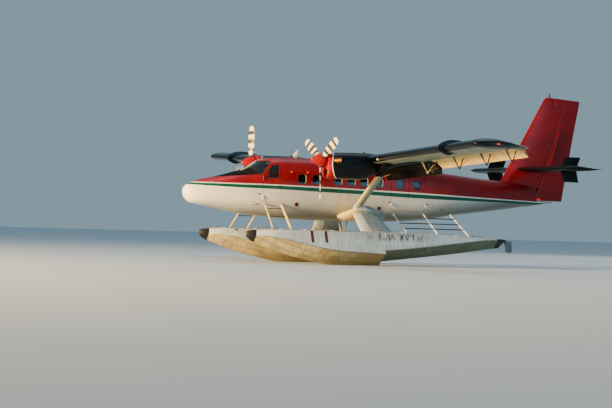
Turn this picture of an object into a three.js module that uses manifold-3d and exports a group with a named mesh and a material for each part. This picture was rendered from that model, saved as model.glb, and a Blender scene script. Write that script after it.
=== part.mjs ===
// A twin-propeller, high-wing floatplane that stands on the keels of its two floats.
// Millimetres. The nose points towards -X, the port side towards -Y, +Z is up, and the keels rest on z = 0.
// "aft" is a distance back from the nose tip; heights are above the keels.
import * as THREE from "three";
import { mergeVertices } from "three/addons/utils/BufferGeometryUtils.js";
import Module from "manifold-3d";

const wasm = await Module();
wasm.setup();

// Driving dimensions.
const LENGTH = 15770;
const HALF_SPAN = 9905;
const GAP = 0.3; // between pieces that touch
const FLATNESS = 0.1; // facets this close to one plane become one
const DEG = Math.PI / 180;

const SKIN = 60; // cabin wall, with its lining
const FLOOR = 1950;
const COCKPIT = { from: 1780, to: 3320 };
const CABIN = { from: 3320, to: 9450 };
const RADOME_END = 270;
const TAIL_END = 13900;

const WING = { leading: 5247, root: 3385, chord: 1980, ratio: 0.16, camber: 0.02 };
const DIHEDRAL = 3 * DEG;
const INCIDENCE = 2.5 * DEG;
const FLAP_START = 920; // inboard flap's inner end, from the centre line
const FLAP_BREAK = 4550; // between the inboard and the outboard flap
const FLAP_END = 9600;
const MAIN_END = 0.717; // chord fractions of the wing's fixed part and of its two flap elements
const FORE_FLAP = { from: 0.7225, to: 0.838 };
const AFT_FLAP = { from: 0.8445, to: 1 };
const FLAP_PIVOT = { along: 1550, down: 420 };
const INBOARD_FLAP = { fore: 37.5 * DEG, aft: 32.5 * DEG }; // as they stand, from the retracted place
const OUTBOARD_FLAP = { fore: 18 * DEG, aft: 25 * DEG };

const ENGINE = { y: 2700, height: 3459, disc: 3720 };
const PROPELLER_RADIUS = 1295;

const TAILPLANE = { leading: 13085, height: 3546, chord: 1560, half: 3150 };
const FIN_HINGE = { low: [14000, 2620], high: [15030, 5720] };

const FLOAT_Y = 1900;
const STEP = 6420; // aft end of each float's forebody

// The frame's x of a point that lies this far back from the nose tip.
const aft = (distance) => distance - LENGTH / 2;

// Solids.

// A closed mesh as a manifold-3d solid, turned face out.
function solid(geometry) {
  const bare = new THREE.BufferGeometry().setAttribute("position", geometry.getAttribute("position"));
  if (geometry.index) bare.setIndex(geometry.index);
  const merged = mergeVertices(bare, 1e-3);
  const triVerts = new Uint32Array(merged.index.array);
  const vertProperties = merged.attributes.position.array;
  const make = () => new wasm.Manifold(new wasm.Mesh({ numProp: 3, vertProperties, triVerts }));
  const first = make();
  if (first.volume() > 0) return first;
  for (let i = 0; i < triVerts.length; i += 3)
    [triVerts[i + 1], triVerts[i + 2]] = [triVerts[i + 2], triVerts[i + 1]];
  return make();
}

function geometryOf(manifold) {
  const mesh = manifold.getMesh();
  const positions = new Float32Array(mesh.numVert * 3);
  for (let i = 0; i < mesh.numVert; i++)
    positions.set(mesh.vertProperties.subarray(i * mesh.numProp, i * mesh.numProp + 3), i * 3);
  return new THREE.BufferGeometry()
    .setAttribute("position", new THREE.BufferAttribute(positions, 3))
    .setIndex(new THREE.BufferAttribute(mesh.triVerts, 1));
}

const union = (...solids) => solids.reduce((sum, next) => sum.add(next));
const mirrored = (manifold) => manifold.mirror([0, 1, 0]);

// A body through rings of equally many [x, y, z] points, closed by a fan at each end. Each quad is split
// along its shorter diagonal, so that a mirrored body has the mirrored faces.
function loft(rings) {
  const n = rings[0].length;
  const positions = rings.flat(2);
  const index = [];
  const point = (p) => positions.slice(3 * p, 3 * p + 3);
  const apart = (p, q) => Math.hypot(...point(p).map((value, k) => value - point(q)[k]));
  for (let r = 0; r < rings.length - 1; r++)
    for (let i = 0; i < n; i++) {
      const j = (i + 1) % n;
      const [a, b, c, d] = [r * n + i, r * n + j, (r + 1) * n + i, (r + 1) * n + j];
      if (apart(a, d) < apart(b, c) + 1e-3) index.push(a, b, d, a, d, c);
      else index.push(a, b, c, b, d, c);
    }
  for (const r of [0, rings.length - 1]) {
    const centre = positions.length / 3;
    positions.push(...[0, 1, 2].map((k) => rings[r].reduce((sum, p) => sum + p[k], 0) / n));
    for (let i = 0; i < n; i++) {
      const j = (i + 1) % n;
      if (r === 0) index.push(centre, r * n + j, r * n + i);
      else index.push(centre, r * n + i, r * n + j);
    }
  }
  const geometry = new THREE.BufferGeometry();
  geometry.setAttribute("position", new THREE.Float32BufferAttribute(positions, 3));
  geometry.setIndex(index);
  return solid(geometry);
}

function box(x0, x1, y0, y1, z0, z1) {
  const geometry = new THREE.BoxGeometry(x1 - x0, y1 - y0, z1 - z0);
  return solid(geometry.translate((x0 + x1) / 2, (y0 + y1) / 2, (z0 + z1) / 2));
}

// An outline of [x, z] points, or a THREE.Shape in that plane, taken from y0 to y1.
function sidePrism(outline, y0, y1) {
  const drawn = outline instanceof THREE.Shape;
  const shape = drawn ? outline : new THREE.Shape(outline.map(([x, z]) => new THREE.Vector2(x, z)));
  const settings = { depth: y1 - y0, bevelEnabled: false, curveSegments: 2 };
  const geometry = new THREE.ExtrudeGeometry(shape, settings);
  return solid(geometry.rotateX(Math.PI / 2).translate(0, y1, 0));
}

// A rounded rectangle in the x-z plane.
function roundedShape(x0, x1, z0, z1, radius) {
  const shape = new THREE.Shape();
  shape.moveTo(x0 + radius, z0);
  shape.lineTo(x1 - radius, z0);
  shape.absarc(x1 - radius, z0 + radius, radius, -Math.PI / 2, 0);
  shape.lineTo(x1, z1 - radius);
  shape.absarc(x1 - radius, z1 - radius, radius, 0, Math.PI / 2);
  shape.lineTo(x0 + radius, z1);
  shape.absarc(x0 + radius, z1 - radius, radius, Math.PI / 2, Math.PI);
  shape.lineTo(x0, z0 + radius);
  shape.absarc(x0 + radius, z0 + radius, radius, Math.PI, 1.5 * Math.PI);
  return shape;
}

// A straight member between two points; its section is a list of [along, up] offsets, with "along" near X.
function member(from, to, sectionFrom, sectionTo = sectionFrom) {
  const axis = new THREE.Vector3(...to).sub(new THREE.Vector3(...from)).normalize();
  const along = Math.abs(axis.x) > 0.9 ? new THREE.Vector3(0, 1, 0) : new THREE.Vector3(1, 0, 0);
  along.addScaledVector(axis, -along.dot(axis)).normalize();
  const up = new THREE.Vector3().crossVectors(axis, along);
  const ring = (point, section) =>
    section.map(([a, b]) =>
      new THREE.Vector3(...point).addScaledVector(along, a).addScaledVector(up, b).toArray(),
    );
  return loft([ring(from, sectionFrom), ring(to, sectionTo)]);
}

const circle = (radius, sides = 10) =>
  Array.from({ length: sides }, (_, i) => {
    const angle = (2 * Math.PI * i) / sides;
    return [radius * Math.cos(angle), radius * Math.sin(angle)];
  });

// A streamlined section, blunt in front and sharp behind.
const teardrop = (chord, thick, sides = 14) =>
  Array.from({ length: sides }, (_, i) => {
    const angle = (2 * Math.PI * i) / sides;
    const forward = Math.cos(angle);
    return [-forward * chord * 0.5, Math.sin(angle) * thick * 0.5 * (1 + 0.35 * forward)];
  });

// The slope of column c at the middle row: level at a peak, so that the curve never overshoots a row.
function slope(before, here, after, c) {
  const falls = (here[c] - before[c]) * (after[c] - here[c]) < 0;
  const level = (before !== here && here[c] === before[c]) || (after !== here && here[c] === after[c]);
  return falls || level ? 0 : (after[c] - before[c]) / (after[0] - before[0]);
}

// Rows at finer steps: every column is interpolated by a spline through the table's rows.
function refine(table, step) {
  const rows = [];
  for (let i = 0; i < table.length - 1; i++) {
    const [a, b] = [table[i], table[i + 1]];
    const [before, after] = [table[i - 1] ?? a, table[i + 2] ?? b];
    const parts = Math.max(1, Math.round((b[0] - a[0]) / step));
    for (let k = 0; k < parts; k++) {
      const t = k / parts;
      rows.push(
        a.map((start, c) => {
          if (c === 0) return start + (b[0] - a[0]) * t;
          const slopeA = slope(before, a, b, c);
          const slopeB = slope(a, b, after, c);
          const run = b[0] - a[0];
          const [t2, t3] = [t * t, t * t * t];
          return (
            (2 * t3 - 3 * t2 + 1) * start + (t3 - 2 * t2 + t) * run * slopeA +
            (3 * t2 - 2 * t3) * b[c] + (t3 - t2) * run * slopeB
          );
        }),
      );
    }
  }
  rows.push(table[table.length - 1]);
  return rows;
}

// The value of each column of a table at one place.
function rowAt(rows, distance) {
  const i = Math.max(1, rows.findIndex((row) => row[0] >= distance));
  const [a, b] = [rows[i - 1], rows[i]];
  const t = (distance - a[0]) / (b[0] - a[0]);
  return a.map((start, c) => start + (b[c] - start) * t);
}

// Fuselage.

const BODY_SIDES = 24;
// aft, half width, top, bottom, height of the widest line, roundness above it, roundness below it
const RADOME = [
  [0, 8, 2330, 2312, 2320, 2, 2],
  [12, 105, 2425, 2215, 2318, 2, 2],
  [45, 180, 2485, 2135, 2312, 2, 2],
  [100, 250, 2535, 2065, 2304, 2.05, 2.05],
  [170, 310, 2578, 2005, 2298, 2.1, 2.1],
  [270, 372, 2622, 1952, 2290, 2.2, 2.2],
];
const FUSELAGE = [
  [270, 372, 2622, 1952, 2290, 2.2, 2.2],
  [600, 490, 2742, 1885, 2300, 2.3, 2.3],
  [1100, 610, 2845, 1808, 2320, 2.4, 2.4],
  [1500, 680, 2945, 1740, 2340, 2.5, 2.5],
  [1870, 735, 3050, 1662, 2365, 2.6, 2.6],
  [2250, 777, 3165, 1617, 2382, 2.8, 2.7],
  [2550, 802, 3370, 1590, 2395, 3.1, 2.8],
  [2750, 820, 3470, 1578, 2405, 3.4, 2.9],
  [2980, 838, 3532, 1560, 2415, 3.7, 3],
  [3350, 858, 3570, 1522, 2430, 4, 3.1],
  [4000, 872, 3580, 1492, 2450, 4, 3.2],
  [5270, 875, 3580, 1480, 2460, 4, 3.2],
  [7200, 875, 3500, 1505, 2455, 4, 3.2],
  [8000, 872, 3432, 1520, 2450, 4, 3.2],
  [9000, 855, 3348, 1598, 2450, 4, 3.1],
  [9450, 832, 3309, 1655, 2450, 3.8, 3],
  [10050, 790, 3258, 1750, 2450, 3.6, 2.9],
  [11280, 640, 3155, 1910, 2450, 3.2, 2.7],
  [12380, 470, 3080, 2050, 2460, 2.9, 2.5],
  [13200, 320, 3015, 2165, 2470, 2.6, 2.4],
  [13900, 170, 2960, 2265, 2480, 2.4, 2.3],
];
const bodyRows = refine(FUSELAGE, 900);

function bodyRing([distance, half, top, bottom, widest, above, below], grow, sides = BODY_SIDES) {
  return Array.from({ length: sides }, (_, i) => {
    const angle = (2 * Math.PI * i) / sides;
    const [c, s] = [Math.cos(angle), Math.sin(angle)];
    const power = 2 / (s >= 0 ? above : below);
    const height = (s >= 0 ? top - widest : widest - bottom) + grow;
    return [
      aft(distance),
      (half + grow) * Math.sign(c) * Math.abs(c) ** power,
      widest + height * Math.sign(s) * Math.abs(s) ** power,
    ];
  });
}

// The fuselage's form between two stations, with its surface moved out by "grow".
function fuselage(from, to, grow = 0) {
  const between = bodyRows.filter((row) => row[0] > from + 20 && row[0] < to - 20);
  const rows = [rowAt(bodyRows, from), ...between, rowAt(bodyRows, to)];
  return loft(rows.map((row) => bodyRing(row, grow)));
}

// The outer surface's distance from the centre line, at a station and a height.
function halfWidth(distance, height) {
  const [, half, top, bottom, widest, above, below] = rowAt(bodyRows, distance);
  const [reach, power] = height > widest ? [top - widest, above] : [widest - bottom, below];
  return half * (1 - Math.abs((height - widest) / reach) ** power) ** (1 / power);
}

// The space inside the skin, through fewer sections than the outside.
const ROOM_SECTIONS = [2250, 2550, 2980, 3600, 5270, 7200, 8400, 9100, 10050, 11280, 12380];
function roomForm(from, to, grow = 0) {
  const places = [from, ...ROOM_SECTIONS.filter((place) => place > from && place < to), to];
  return loft(places.map((place) => bodyRing(rowAt(bodyRows, place), grow - SKIN, 20)));
}
const insideRoom = (from, to, ceiling) =>
  roomForm(from, to).intersect(box(aft(from), aft(to), -1000, 1000, FLOOR, ceiling));

// Windows of the cabin: front edge, sill height. The last two on the port side are in the cargo door.
const WINDOW = { wide: 300, high: 300, corner: 85 };
const CABIN_WINDOWS = [
  [3830, 2705],
  [4370, 2703],
  [5200, 2700],
  [5715, 2695],
  [6205, 2688],
  [6800, 2668],
];
const DOOR_WINDOWS = [
  [7620, 2662],
  [8300, 2645],
];
const windowPrism = ([front, sill], y0, y1) =>
  sidePrism(
    roundedShape(aft(front), aft(front + WINDOW.wide), sill, sill + WINDOW.high, WINDOW.corner),
    y0,
    y1,
  );

// Doors: outline in the side view, the hinge's station, its heights, and the window.
const DOOR_GAP = 12;
const DOOR_SKIN = 40;
const CARGO_SILL = 1890;
const CARGO_HEAD = 3150;
const DOOR_CORNER = 90;
const DOORS = {
  crew: {
    outline: [[2570, 2060], [3215, 2060], [3235, 2560], [3190, 3340], [2935, 3340], [2570, 2870]],
    hinge: 2560, low: 2150, high: 2800,
    window: [[2620, 2860], [3110, 2865], [3165, 3285], [2935, 3285], [2755, 3085]],
  },
  cargoFront: { from: 7430, to: 8112, hinge: 7421, low: 2060, high: 2960, window: DOOR_WINDOWS[0] },
  cargoRear: { from: 8127, to: 8800, hinge: 8809, low: 2060, high: 2960, window: DOOR_WINDOWS[1] },
  starboard: { from: 7560, to: 8330, hinge: 7551, low: 2060, high: 2900, window: [7795, 2655] },
};

function doorOutline(door, grow) {
  if (!door.outline) {
    const [x0, x1] = [aft(door.from - grow), aft(door.to + grow)];
    return roundedShape(x0, x1, CARGO_SILL - grow, CARGO_HEAD + grow, DOOR_CORNER + grow);
  }
  const middle = [3000, 2600];
  return door.outline.map(([x, z]) => [
    aft(x + Math.sign(x - middle[0]) * grow), z + Math.sign(z - middle[1]) * grow,
  ]);
}

// Barrels of a door's hinge, half on the door and half on the frame. The pin line stands just off the skin.
const BARREL = { radius: 13, length: 70, off: 14, leaf: 60 };
function barrels(door, onFrame) {
  const x = aft(door.hinge);
  const y = -hingeOut(door);
  const inward = (onFrame ? 1 : -1) * Math.sign(2 * door.hinge - doorSpan(door));
  return union(
    ...[door.low, door.high].map((z) => {
      const start = z + (onFrame ? BARREL.length / 2 + GAP : -BARREL.length / 2);
      const ring = (height) => circle(BARREL.radius, 6).map(([a, b]) => [x + a, y + b, height]);
      const barrel = loft([ring(start), ring(start + BARREL.length)]);
      const [near, bend, far] = [0, 22, BARREL.leaf].map((reach) => x + inward * reach);
      const leaf = box(Math.min(near, far), Math.max(near, far), y - 4, y + 4, start, start + BARREL.length);
      const foot = box(Math.min(bend, far), Math.max(bend, far), y - 4, y + 70, start, start + BARREL.length);
      return union(barrel, leaf, foot);
    }),
  );
}
const doorSpan = (door) =>
  door.outline ? door.outline[0][0] + door.outline[1][0] : door.from + door.to;
const hingeOut = (door) => halfWidth(door.hinge, 2450) + BARREL.off;

function doorSolid(door) {
  const [from, to] = door.outline ? [2500, 3300] : [door.from - 60, door.to + 60];
  const skin = fuselage(from, to).subtract(fuselage(from - 30, to + 30, -DOOR_SKIN));
  const leaf = skin.intersect(sidePrism(doorOutline(door, 0), -1200, -200));
  const pane = door.outline
    ? sidePrism(door.window.map(([x, z]) => [aft(x), z]), -1200, -200)
    : windowPrism(door.window, -1200, -200);
  return leaf.subtract(pane).add(barrels(door, false));
}

// A door's opening in the port side, with the gap round the door.
const doorway = (door) => sidePrism(doorOutline(door, DOOR_GAP), -1200, -200);

const windshieldOutline = (grow) => [
  [aft(2110 - grow), 3405 + grow],
  [aft(2900 + 2 * grow), 3405 + grow],
  [aft(2500), 2955 - 2 * grow],
];
const POST = 32; // half the centre post

function windshieldGlass() {
  const sheet = fuselage(2100, 2950, -14).subtract(fuselage(2080, 2970, -26));
  return sheet.intersect(sidePrism(windshieldOutline(-GAP), -1000, -POST - GAP));
}

function cockpitShell() {
  const crew = doorway(DOORS.crew);
  const frame = barrels(DOORS.crew, true);
  const pane = sidePrism(windshieldOutline(0), -1000, -POST);
  return fuselage(COCKPIT.from + GAP, COCKPIT.to)
    .subtract(insideRoom(1900, COCKPIT.to + 10, 3600))
    .subtract(crew).subtract(mirrored(crew))
    .subtract(pane).subtract(mirrored(pane))
    .add(frame).add(mirrored(frame));
}

function cabinShell() {
  const rear = 9250; // front face of the rear bulkhead
  const underFloor = box(aft(7200), aft(9500), -1000, 1000, 1000, FLOOR - 60);
  const carry = box(aft(5150), aft(7280), -1000, 1000, 3235, 4000); // the wing's middle crosses the roof here
  let shell = fuselage(CABIN.from + GAP, CABIN.to)
    .subtract(insideRoom(CABIN.from - 10, rear, 3600).subtract(carry))
    .subtract(roomForm(7200, CABIN.to + 10).intersect(underFloor));
  for (const window of CABIN_WINDOWS) shell = shell.subtract(windowPrism(window, -1000, 1000));
  const openings = [doorway(DOORS.cargoFront), doorway(DOORS.cargoRear), mirrored(doorway(DOORS.starboard))];
  for (const opening of openings) shell = shell.subtract(opening);
  return union(
    shell,
    barrels(DOORS.cargoFront, true),
    barrels(DOORS.cargoRear, true),
    mirrored(barrels(DOORS.starboard, true)),
  );
}

// The keel of the tail runs on under the rudder: aft, half width, top, bottom, widest line, roundness
const STINGER = [
  [13700, 190, 2408, 2228, 2400, 2, 2],
  [14150, 120, 2408, 2300, 2400, 2, 2],
  [14450, 62, 2408, 2345, 2400, 2, 2],
  [14630, 12, 2408, 2374, 2400, 2, 2],
];

function tailCone() {
  const room = roomForm(CABIN.to - 10, 12900).intersect(box(aft(9000), aft(12900), -1000, 1000, 1000, 4000));
  const stinger = loft(STINGER.map((row) => bodyRing(row, 0, 16)));
  return fuselage(CABIN.to + GAP, TAIL_END).subtract(rudderPost(8)).add(stinger).subtract(room);
}

// Inside the cabin.

function instrumentPanel() {
  const outline = [
    [2330, 2540], [2390, 2540], [2420, 2960], [2330, 3080], [2120, 3040], [2120, 3005], [2300, 3000],
  ];
  const panel = sidePrism(outline.map(([x, z]) => [aft(x), z]), -640, 640);
  const pedestal = box(aft(2250), aft(2470), -120, 120, FLOOR + GAP, 2700);
  return union(panel, pedestal).intersect(roomForm(1900, 3000, -GAP));
}

// A seat whose front edge is at "front", between y0 and y1.
function seat(front, y0, y1) {
  const [depth, cushion, back] = [430, 2330, 2960];
  const backOutline = [[depth - 80, cushion], [depth + 20, cushion], [depth + 110, back], [depth + 40, back]];
  return union(
    box(aft(front), aft(front + depth), y0, y1, cushion, cushion + 110),
    sidePrism(backOutline.map(([x, z]) => [aft(front + x), z]), y0, y1),
    box(aft(front + 80), aft(front + depth - 120), y0 + 60, y1 - 60, FLOOR + 20, cushion + 10),
  );
}

const CREW_SEAT = { front: 2720, inner: 150, outer: 620 };
const crewSeat = () =>
  union(
    seat(CREW_SEAT.front, -CREW_SEAT.outer, -CREW_SEAT.inner),
    box(aft(2760), aft(3120), -560, -210, FLOOR + GAP, FLOOR + 25),
  );

const SEAT_ROWS = [3900, 4680, 5460, 6240, 7020];
function cabinSeats(y0, y1) {
  const rails = [y0 + 60, y1 - 110].map((y) =>
    box(aft(SEAT_ROWS[0]), aft(SEAT_ROWS[4] + 430), y, y + 50, FLOOR + GAP, FLOOR + 25),
  );
  return union(...rails, ...SEAT_ROWS.map((front) => seat(front, y0, y1)));
}

// Wing.

const CAMBER_PEAK = 0.4;
const camberLine = (x, camber) =>
  x < CAMBER_PEAK
    ? (camber / CAMBER_PEAK ** 2) * (2 * CAMBER_PEAK * x - x * x)
    : (camber / (1 - CAMBER_PEAK) ** 2) * (1 - 2 * CAMBER_PEAK + 2 * CAMBER_PEAK * x - x * x);
const halfThickness = (x, ratio) =>
  5 * ratio * (0.2969 * Math.sqrt(x) - 0.126 * x - 0.3516 * x ** 2 + 0.2843 * x ** 3 - 0.1015 * x ** 4);

// A piece of a wing section, with a round nose of length "nose": [along, up] points in millimetres.
function section({ chord, ratio, camber, from = 0, to = 1, nose = 0, steps = 8 }) {
  const upper = [];
  const lower = [];
  for (let i = 0; i <= steps; i++) {
    const x = from + (to - from) * (1 - Math.cos(((Math.PI / 2) * i) / steps));
    const round = x - from < nose ? Math.sqrt(1 - (1 - (x - from) / nose) ** 2) : 1;
    const half = halfThickness(x, ratio) * round;
    const middle = camberLine(x, camber);
    upper.push([x * chord, (middle + half) * chord]);
    if (i > 0) lower.push([x * chord, (middle - half) * chord]);
  }
  return [...upper.reverse(), ...lower];
}

// A point of the starboard wing: along the chord, above it, and out from the centre line. Its ribs are
// square to the span.
function wingPoint(along, up, out) {
  const rise = up * Math.cos(INCIDENCE) - along * Math.sin(INCIDENCE);
  return [
    aft(WING.leading) + along * Math.cos(INCIDENCE) + up * Math.sin(INCIDENCE),
    out - rise * Math.sin(DIHEDRAL),
    WING.root + out * Math.tan(DIHEDRAL) + rise * Math.cos(DIHEDRAL),
  ];
}
const wingRing = (points, out) => points.map(([along, up]) => wingPoint(along, up, out));

// A prism across the wing, from an outline of [along, up] points.
const wingPlate = (outline, out, thick) =>
  loft([wingRing(outline, out - thick / 2), wingRing(outline, out + thick / 2)]);

// Wing tip: out, the leading edge's setback, chord, thickness
const TIP = [
  [9600, 0, 1980, 1],
  [9720, 45, 1900, 0.88],
  [9820, 150, 1720, 0.68],
  [9880, 330, 1420, 0.42],
  [HALF_SPAN, 520, 1080, 0.16],
];
const FLAP_ARMS = { inboard: [1250, 4390], outboard: [4730, 6380, 7990, 9440] };
const ARM = { thick: 22, radius: 26 };

// The fixed half of a flap's V: from the rear of the wing's box down to the pivot.
function flapBracket(out) {
  const { along, down } = FLAP_PIVOT;
  const outline = [
    [1235, -60], [1345, -50], [along + 24, -down + 4], [along + 10, -down - 22], [along - 24, -down - 12],
  ];
  return wingPlate(outline, out - ARM.thick / 2 - GAP, ARM.thick);
}

// The moving half: from the pivot up to the fore flap.
function flapArm(out) {
  const { along, down } = FLAP_PIVOT;
  const outline = [
    [along - 40, 0], [along + 50, 0], [along + 26, -down], [along + 10, -down - 22], [along - 22, -down - 12],
  ];
  return wingPlate(outline, out + ARM.thick / 2 + GAP, ARM.thick);
}

// Leading-edge fence: its place, its rim's height over the skin at the rear and what that gains towards the
// nose, and where it ends above (a chord fraction) and below
const FENCE = { out: 7800, thick: 14, rim: 30, gain: 80, end: 0.62, underside: 300 };

function fence() {
  const reach = (x) => FENCE.rim + FENCE.gain * (1 - Math.min(1, x / FENCE.end)) ** 0.6;
  const inner = section({ ...WING, from: 0, to: 0.66, steps: 8 });
  const outline = inner.map(([along, up]) => {
    const x = along / WING.chord;
    const out = reach(x);
    const lean = Math.max(0, 1 - x / 0.1);
    return [along - out * lean, up + Math.sign(up - 20) * out * (1 - 0.55 * lean)];
  });
  const kept = outline.filter(([along, up]) => up > 0 || along < FENCE.underside);
  return wingPlate(kept, FENCE.out, FENCE.thick);
}

// The wing's fixed box between two places along the span.
function wingBox(from, to) {
  const main = section({ ...WING, to: MAIN_END });
  return loft([wingRing(main, from), wingRing(main, to)]);
}

function wingPanel() {
  const whole = section(WING);
  const tip = loft(
    TIP.map(([out, setback, chord, thickness]) =>
      wingRing(
        whole.map(([along, up]) => [setback + (along * chord) / WING.chord, up * thickness]),
        out,
      ),
    ),
  );
  const brackets = [...FLAP_ARMS.inboard, ...FLAP_ARMS.outboard].map(flapBracket);
  return union(wingBox(450, FLAP_END + 20), tip, fence(), ...brackets).subtract(fuselage(5000, 7400, GAP));
}

const flapSection = (part, nose) => section({ ...WING, ...part, nose, steps: 6 });

function foreFlap(from, to, arms) {
  const shape = flapSection(FORE_FLAP, 0.03);
  const body = loft([wingRing(shape, from), wingRing(shape, to)]);
  return union(body, ...arms.map(flapArm), ...hingeLugs(from, to));
}

// Lugs on the fore flap that carry the aft element, and the slots for them.
const AFT_HINGE = { along: AFT_FLAP.from * WING.chord + 26, up: 8 };
const lugPlaces = (from, to) => [from + 420, (from + to) / 2, to - 420];
const hingeLugs = (from, to) =>
  lugPlaces(from, to).map((out) => {
    const { along, up } = AFT_HINGE;
    const [root, tip, half] = [along - 95, along + 12, 14];
    const outline = [[root, up + half], [along, up + half], [tip, up], [along, up - half], [root, up - half]];
    return wingPlate(outline, out, 20);
  });

function aftFlap(from, to) {
  const shape = flapSection(AFT_FLAP, 0.02);
  const { along, up } = AFT_HINGE;
  const slot = [[along - 60, up - 80], [along + 24, up - 80], [along + 24, up + 80], [along - 60, up + 80]];
  return lugPlaces(from, to).reduce(
    (body, out) => body.subtract(wingPlate(slot, out, 20 + 2 * GAP)),
    loft([wingRing(shape, from), wingRing(shape, to)]),
  );
}

// Nacelle: aft, half width, top, bottom, height of the widest line, roundness above it, roundness below it
const NACELLE = [
  [3865, 262, 3722, 3150, 3459, 2, 2.2],
  [3910, 290, 3730, 2935, 3430, 2.05, 2.3],
  [4050, 345, 3700, 2860, 3380, 2.2, 2.4],
  [4300, 385, 3720, 2850, 3330, 2.5, 2.5],
  [4800, 402, 3735, 2840, 3310, 2.6, 2.6],
  [5300, 392, 3738, 2865, 3330, 2.5, 2.5],
  [5800, 290, 3715, 3065, 3370, 2.1, 2.1],
  [6150, 215, 3640, 3190, 3400, 2.05, 2.05],
  [6400, 120, 3540, 3300, 3420, 2, 2],
];
const nacelleRows = refine(NACELLE, 600);
const nacelleForm = (from, to, grow) =>
  loft(
    nacelleRows.filter((row) => row[0] >= from && row[0] <= to).map((row) => bodyRing(row, grow, 20)),
  ).translate([0, ENGINE.y, 0]);

const INTAKE = { front: 3872, height: 3060, half: 157, tall: 120, depth: 420 };
const ovalRing = (distance, half, tall, height = INTAKE.height) =>
  circle(1, 12).map(([a, b]) => [aft(distance), ENGINE.y + a * half, height + b * tall]);

const ENGINE_BLOCK = { from: 3892, to: 5160, radius: 238 };
const roundX = (from, to, radius, sides = 18) => {
  const ring = (distance) =>
    circle(radius, sides).map(([a, b]) => [aft(distance), ENGINE.y + a, ENGINE.height + b]);
  return loft([ring(from), ring(to)]);
};

function nacelle() {
  const scoop = loft([
    ovalRing(INTAKE.front, INTAKE.half + 40, INTAKE.tall + 35),
    ovalRing(INTAKE.front + 30, INTAKE.half + 92, INTAKE.tall + 74),
    ovalRing(4100, INTAKE.half + 130, INTAKE.tall + 95),
  ]);
  const duct = loft([
    ovalRing(INTAKE.front - 10, INTAKE.half, INTAKE.tall - 8),
    ovalRing(INTAKE.front + INTAKE.depth, INTAKE.half - 17, INTAKE.tall - 30),
  ]);
  const exhausts = [-1, 1].map((side) =>
    member(
      [aft(4100), ENGINE.y + side * 240, ENGINE.height - 20],
      [aft(4250), ENGINE.y + side * 470, ENGINE.height - 5],
      circle(92, 10),
    ),
  );
  const outlets = [-1, 1].map((side) =>
    member(
      [aft(4157), ENGINE.y + side * 325, ENGINE.height - 15],
      [aft(4300), ENGINE.y + side * 540, ENGINE.height - 1],
      circle(80, 10),
    ),
  );
  const slot = wingBox(2000, 3400);
  const shifts = [[0, 0, 2 * GAP], [0, 0, -2 * GAP], [-2 * GAP, 0, 0]];
  let body = union(nacelleForm(3865, 6400, 0), scoop, ...exhausts)
    .subtract(duct)
    .subtract(roundX(3800, ENGINE_BLOCK.to + GAP, ENGINE_BLOCK.radius + GAP));
  for (const outlet of outlets) body = body.subtract(outlet);
  for (const shift of shifts) body = body.subtract(slot.translate(shift));
  const [main] = body.decompose().sort((a, b) => b.volume() - a.volume());
  return main;
}

function engineBlock() {
  const shaft = roundX(ENGINE.disc + HUB.back + GAP, ENGINE_BLOCK.from, 110, 16);
  return roundX(ENGINE_BLOCK.from, ENGINE_BLOCK.to, ENGINE_BLOCK.radius).add(shaft);
}

// Propeller. Blade sections: radius, chord, thickness, pitch in degrees
const BLADE = [
  [90, 100, 96, 50],
  [260, 130, 70, 44],
  [450, 215, 40, 36],
  [800, 270, 24, 25],
  [1180, 240, 13, 18],
  [PROPELLER_RADIUS, 120, 8, 16],
];
const HUB = { radius: 130, front: -120, back: 150 };

// About the hub's centre, with the shaft along X; the first blade points up.
function propeller() {
  const blade = loft(
    BLADE.map(([radius, chord, thick, pitch]) =>
      circle(1, 8).map(([a, b]) => {
        const [across, through] = [(a * chord) / 2, (b * thick) / 2];
        const [c, s] = [Math.cos(pitch * DEG), Math.sin(pitch * DEG)];
        return [-across * s + through * c, across * c + through * s, radius];
      }),
    ),
  );
  const hub = loft([HUB.front, HUB.back].map((x) => circle(HUB.radius, 16).map(([a, b]) => [x, a, b])));
  return union(hub, ...[0, 120, 240].map((turn) => blade.rotate([turn, 0, 0])));
}

function spinner() {
  // distance behind the disc, radius
  const outline = [[-374, 4], [-345, 50], [-260, 115], [-130, 182], [0, 222], [125, 240]];
  const ring = ([x, radius]) => circle(radius, 16).map(([a, b]) => [x, a, b]);
  const outer = loft(outline.map(ring));
  const room = loft([[HUB.front - GAP, HUB.radius + GAP], [HUB.back + 10, HUB.radius + GAP]].map(ring));
  const holes = [0, 120, 240].map((turn) =>
    loft([100, 300].map((z) => circle(1, 8).map(([a, b]) => [a * 88, b * 88, z]))).rotate([turn, 0, 0]),
  );
  return [room, ...holes].reduce((body, hole) => body.subtract(hole), outer);
}

// Tail.

const tailSection = (chord, ratio, from, to, nose = 0, steps = 7) =>
  section({ chord, ratio, camber: 0, from, to, nose, steps });

// The rudder's hinge line: the station at a height.
const hingeAft = (height) => {
  const [[x0, z0], [x1, z1]] = [FIN_HINGE.low, FIN_HINGE.high];
  return x0 + ((x1 - x0) * (height - z0)) / (z1 - z0);
};
// Fin and rudder: height, leading edge, trailing edge, thickness
const FIN = [
  [2430, 12045, 15083, 330],
  [3070, 12410, 15190, 320],
  [3820, 12850, 15335, 275],
  [5000, 13540, 15555, 200],
  [5900, 14065, 15735, 150],
  [6120, 14195, LENGTH, 110],
  [6215, 14300, 15760, 60],
];
// The rudder's horn runs forward over the fin's top: its lower edge, its front there, and how that leans back
const HORN = { from: 5895, front: 14572, lean: 0.12, gap: 27 };
const hornFront = (height) => HORN.front + (height - HORN.from) * HORN.lean;
const RUDDER_LUGS = [3250, 4400, 5400];
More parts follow.
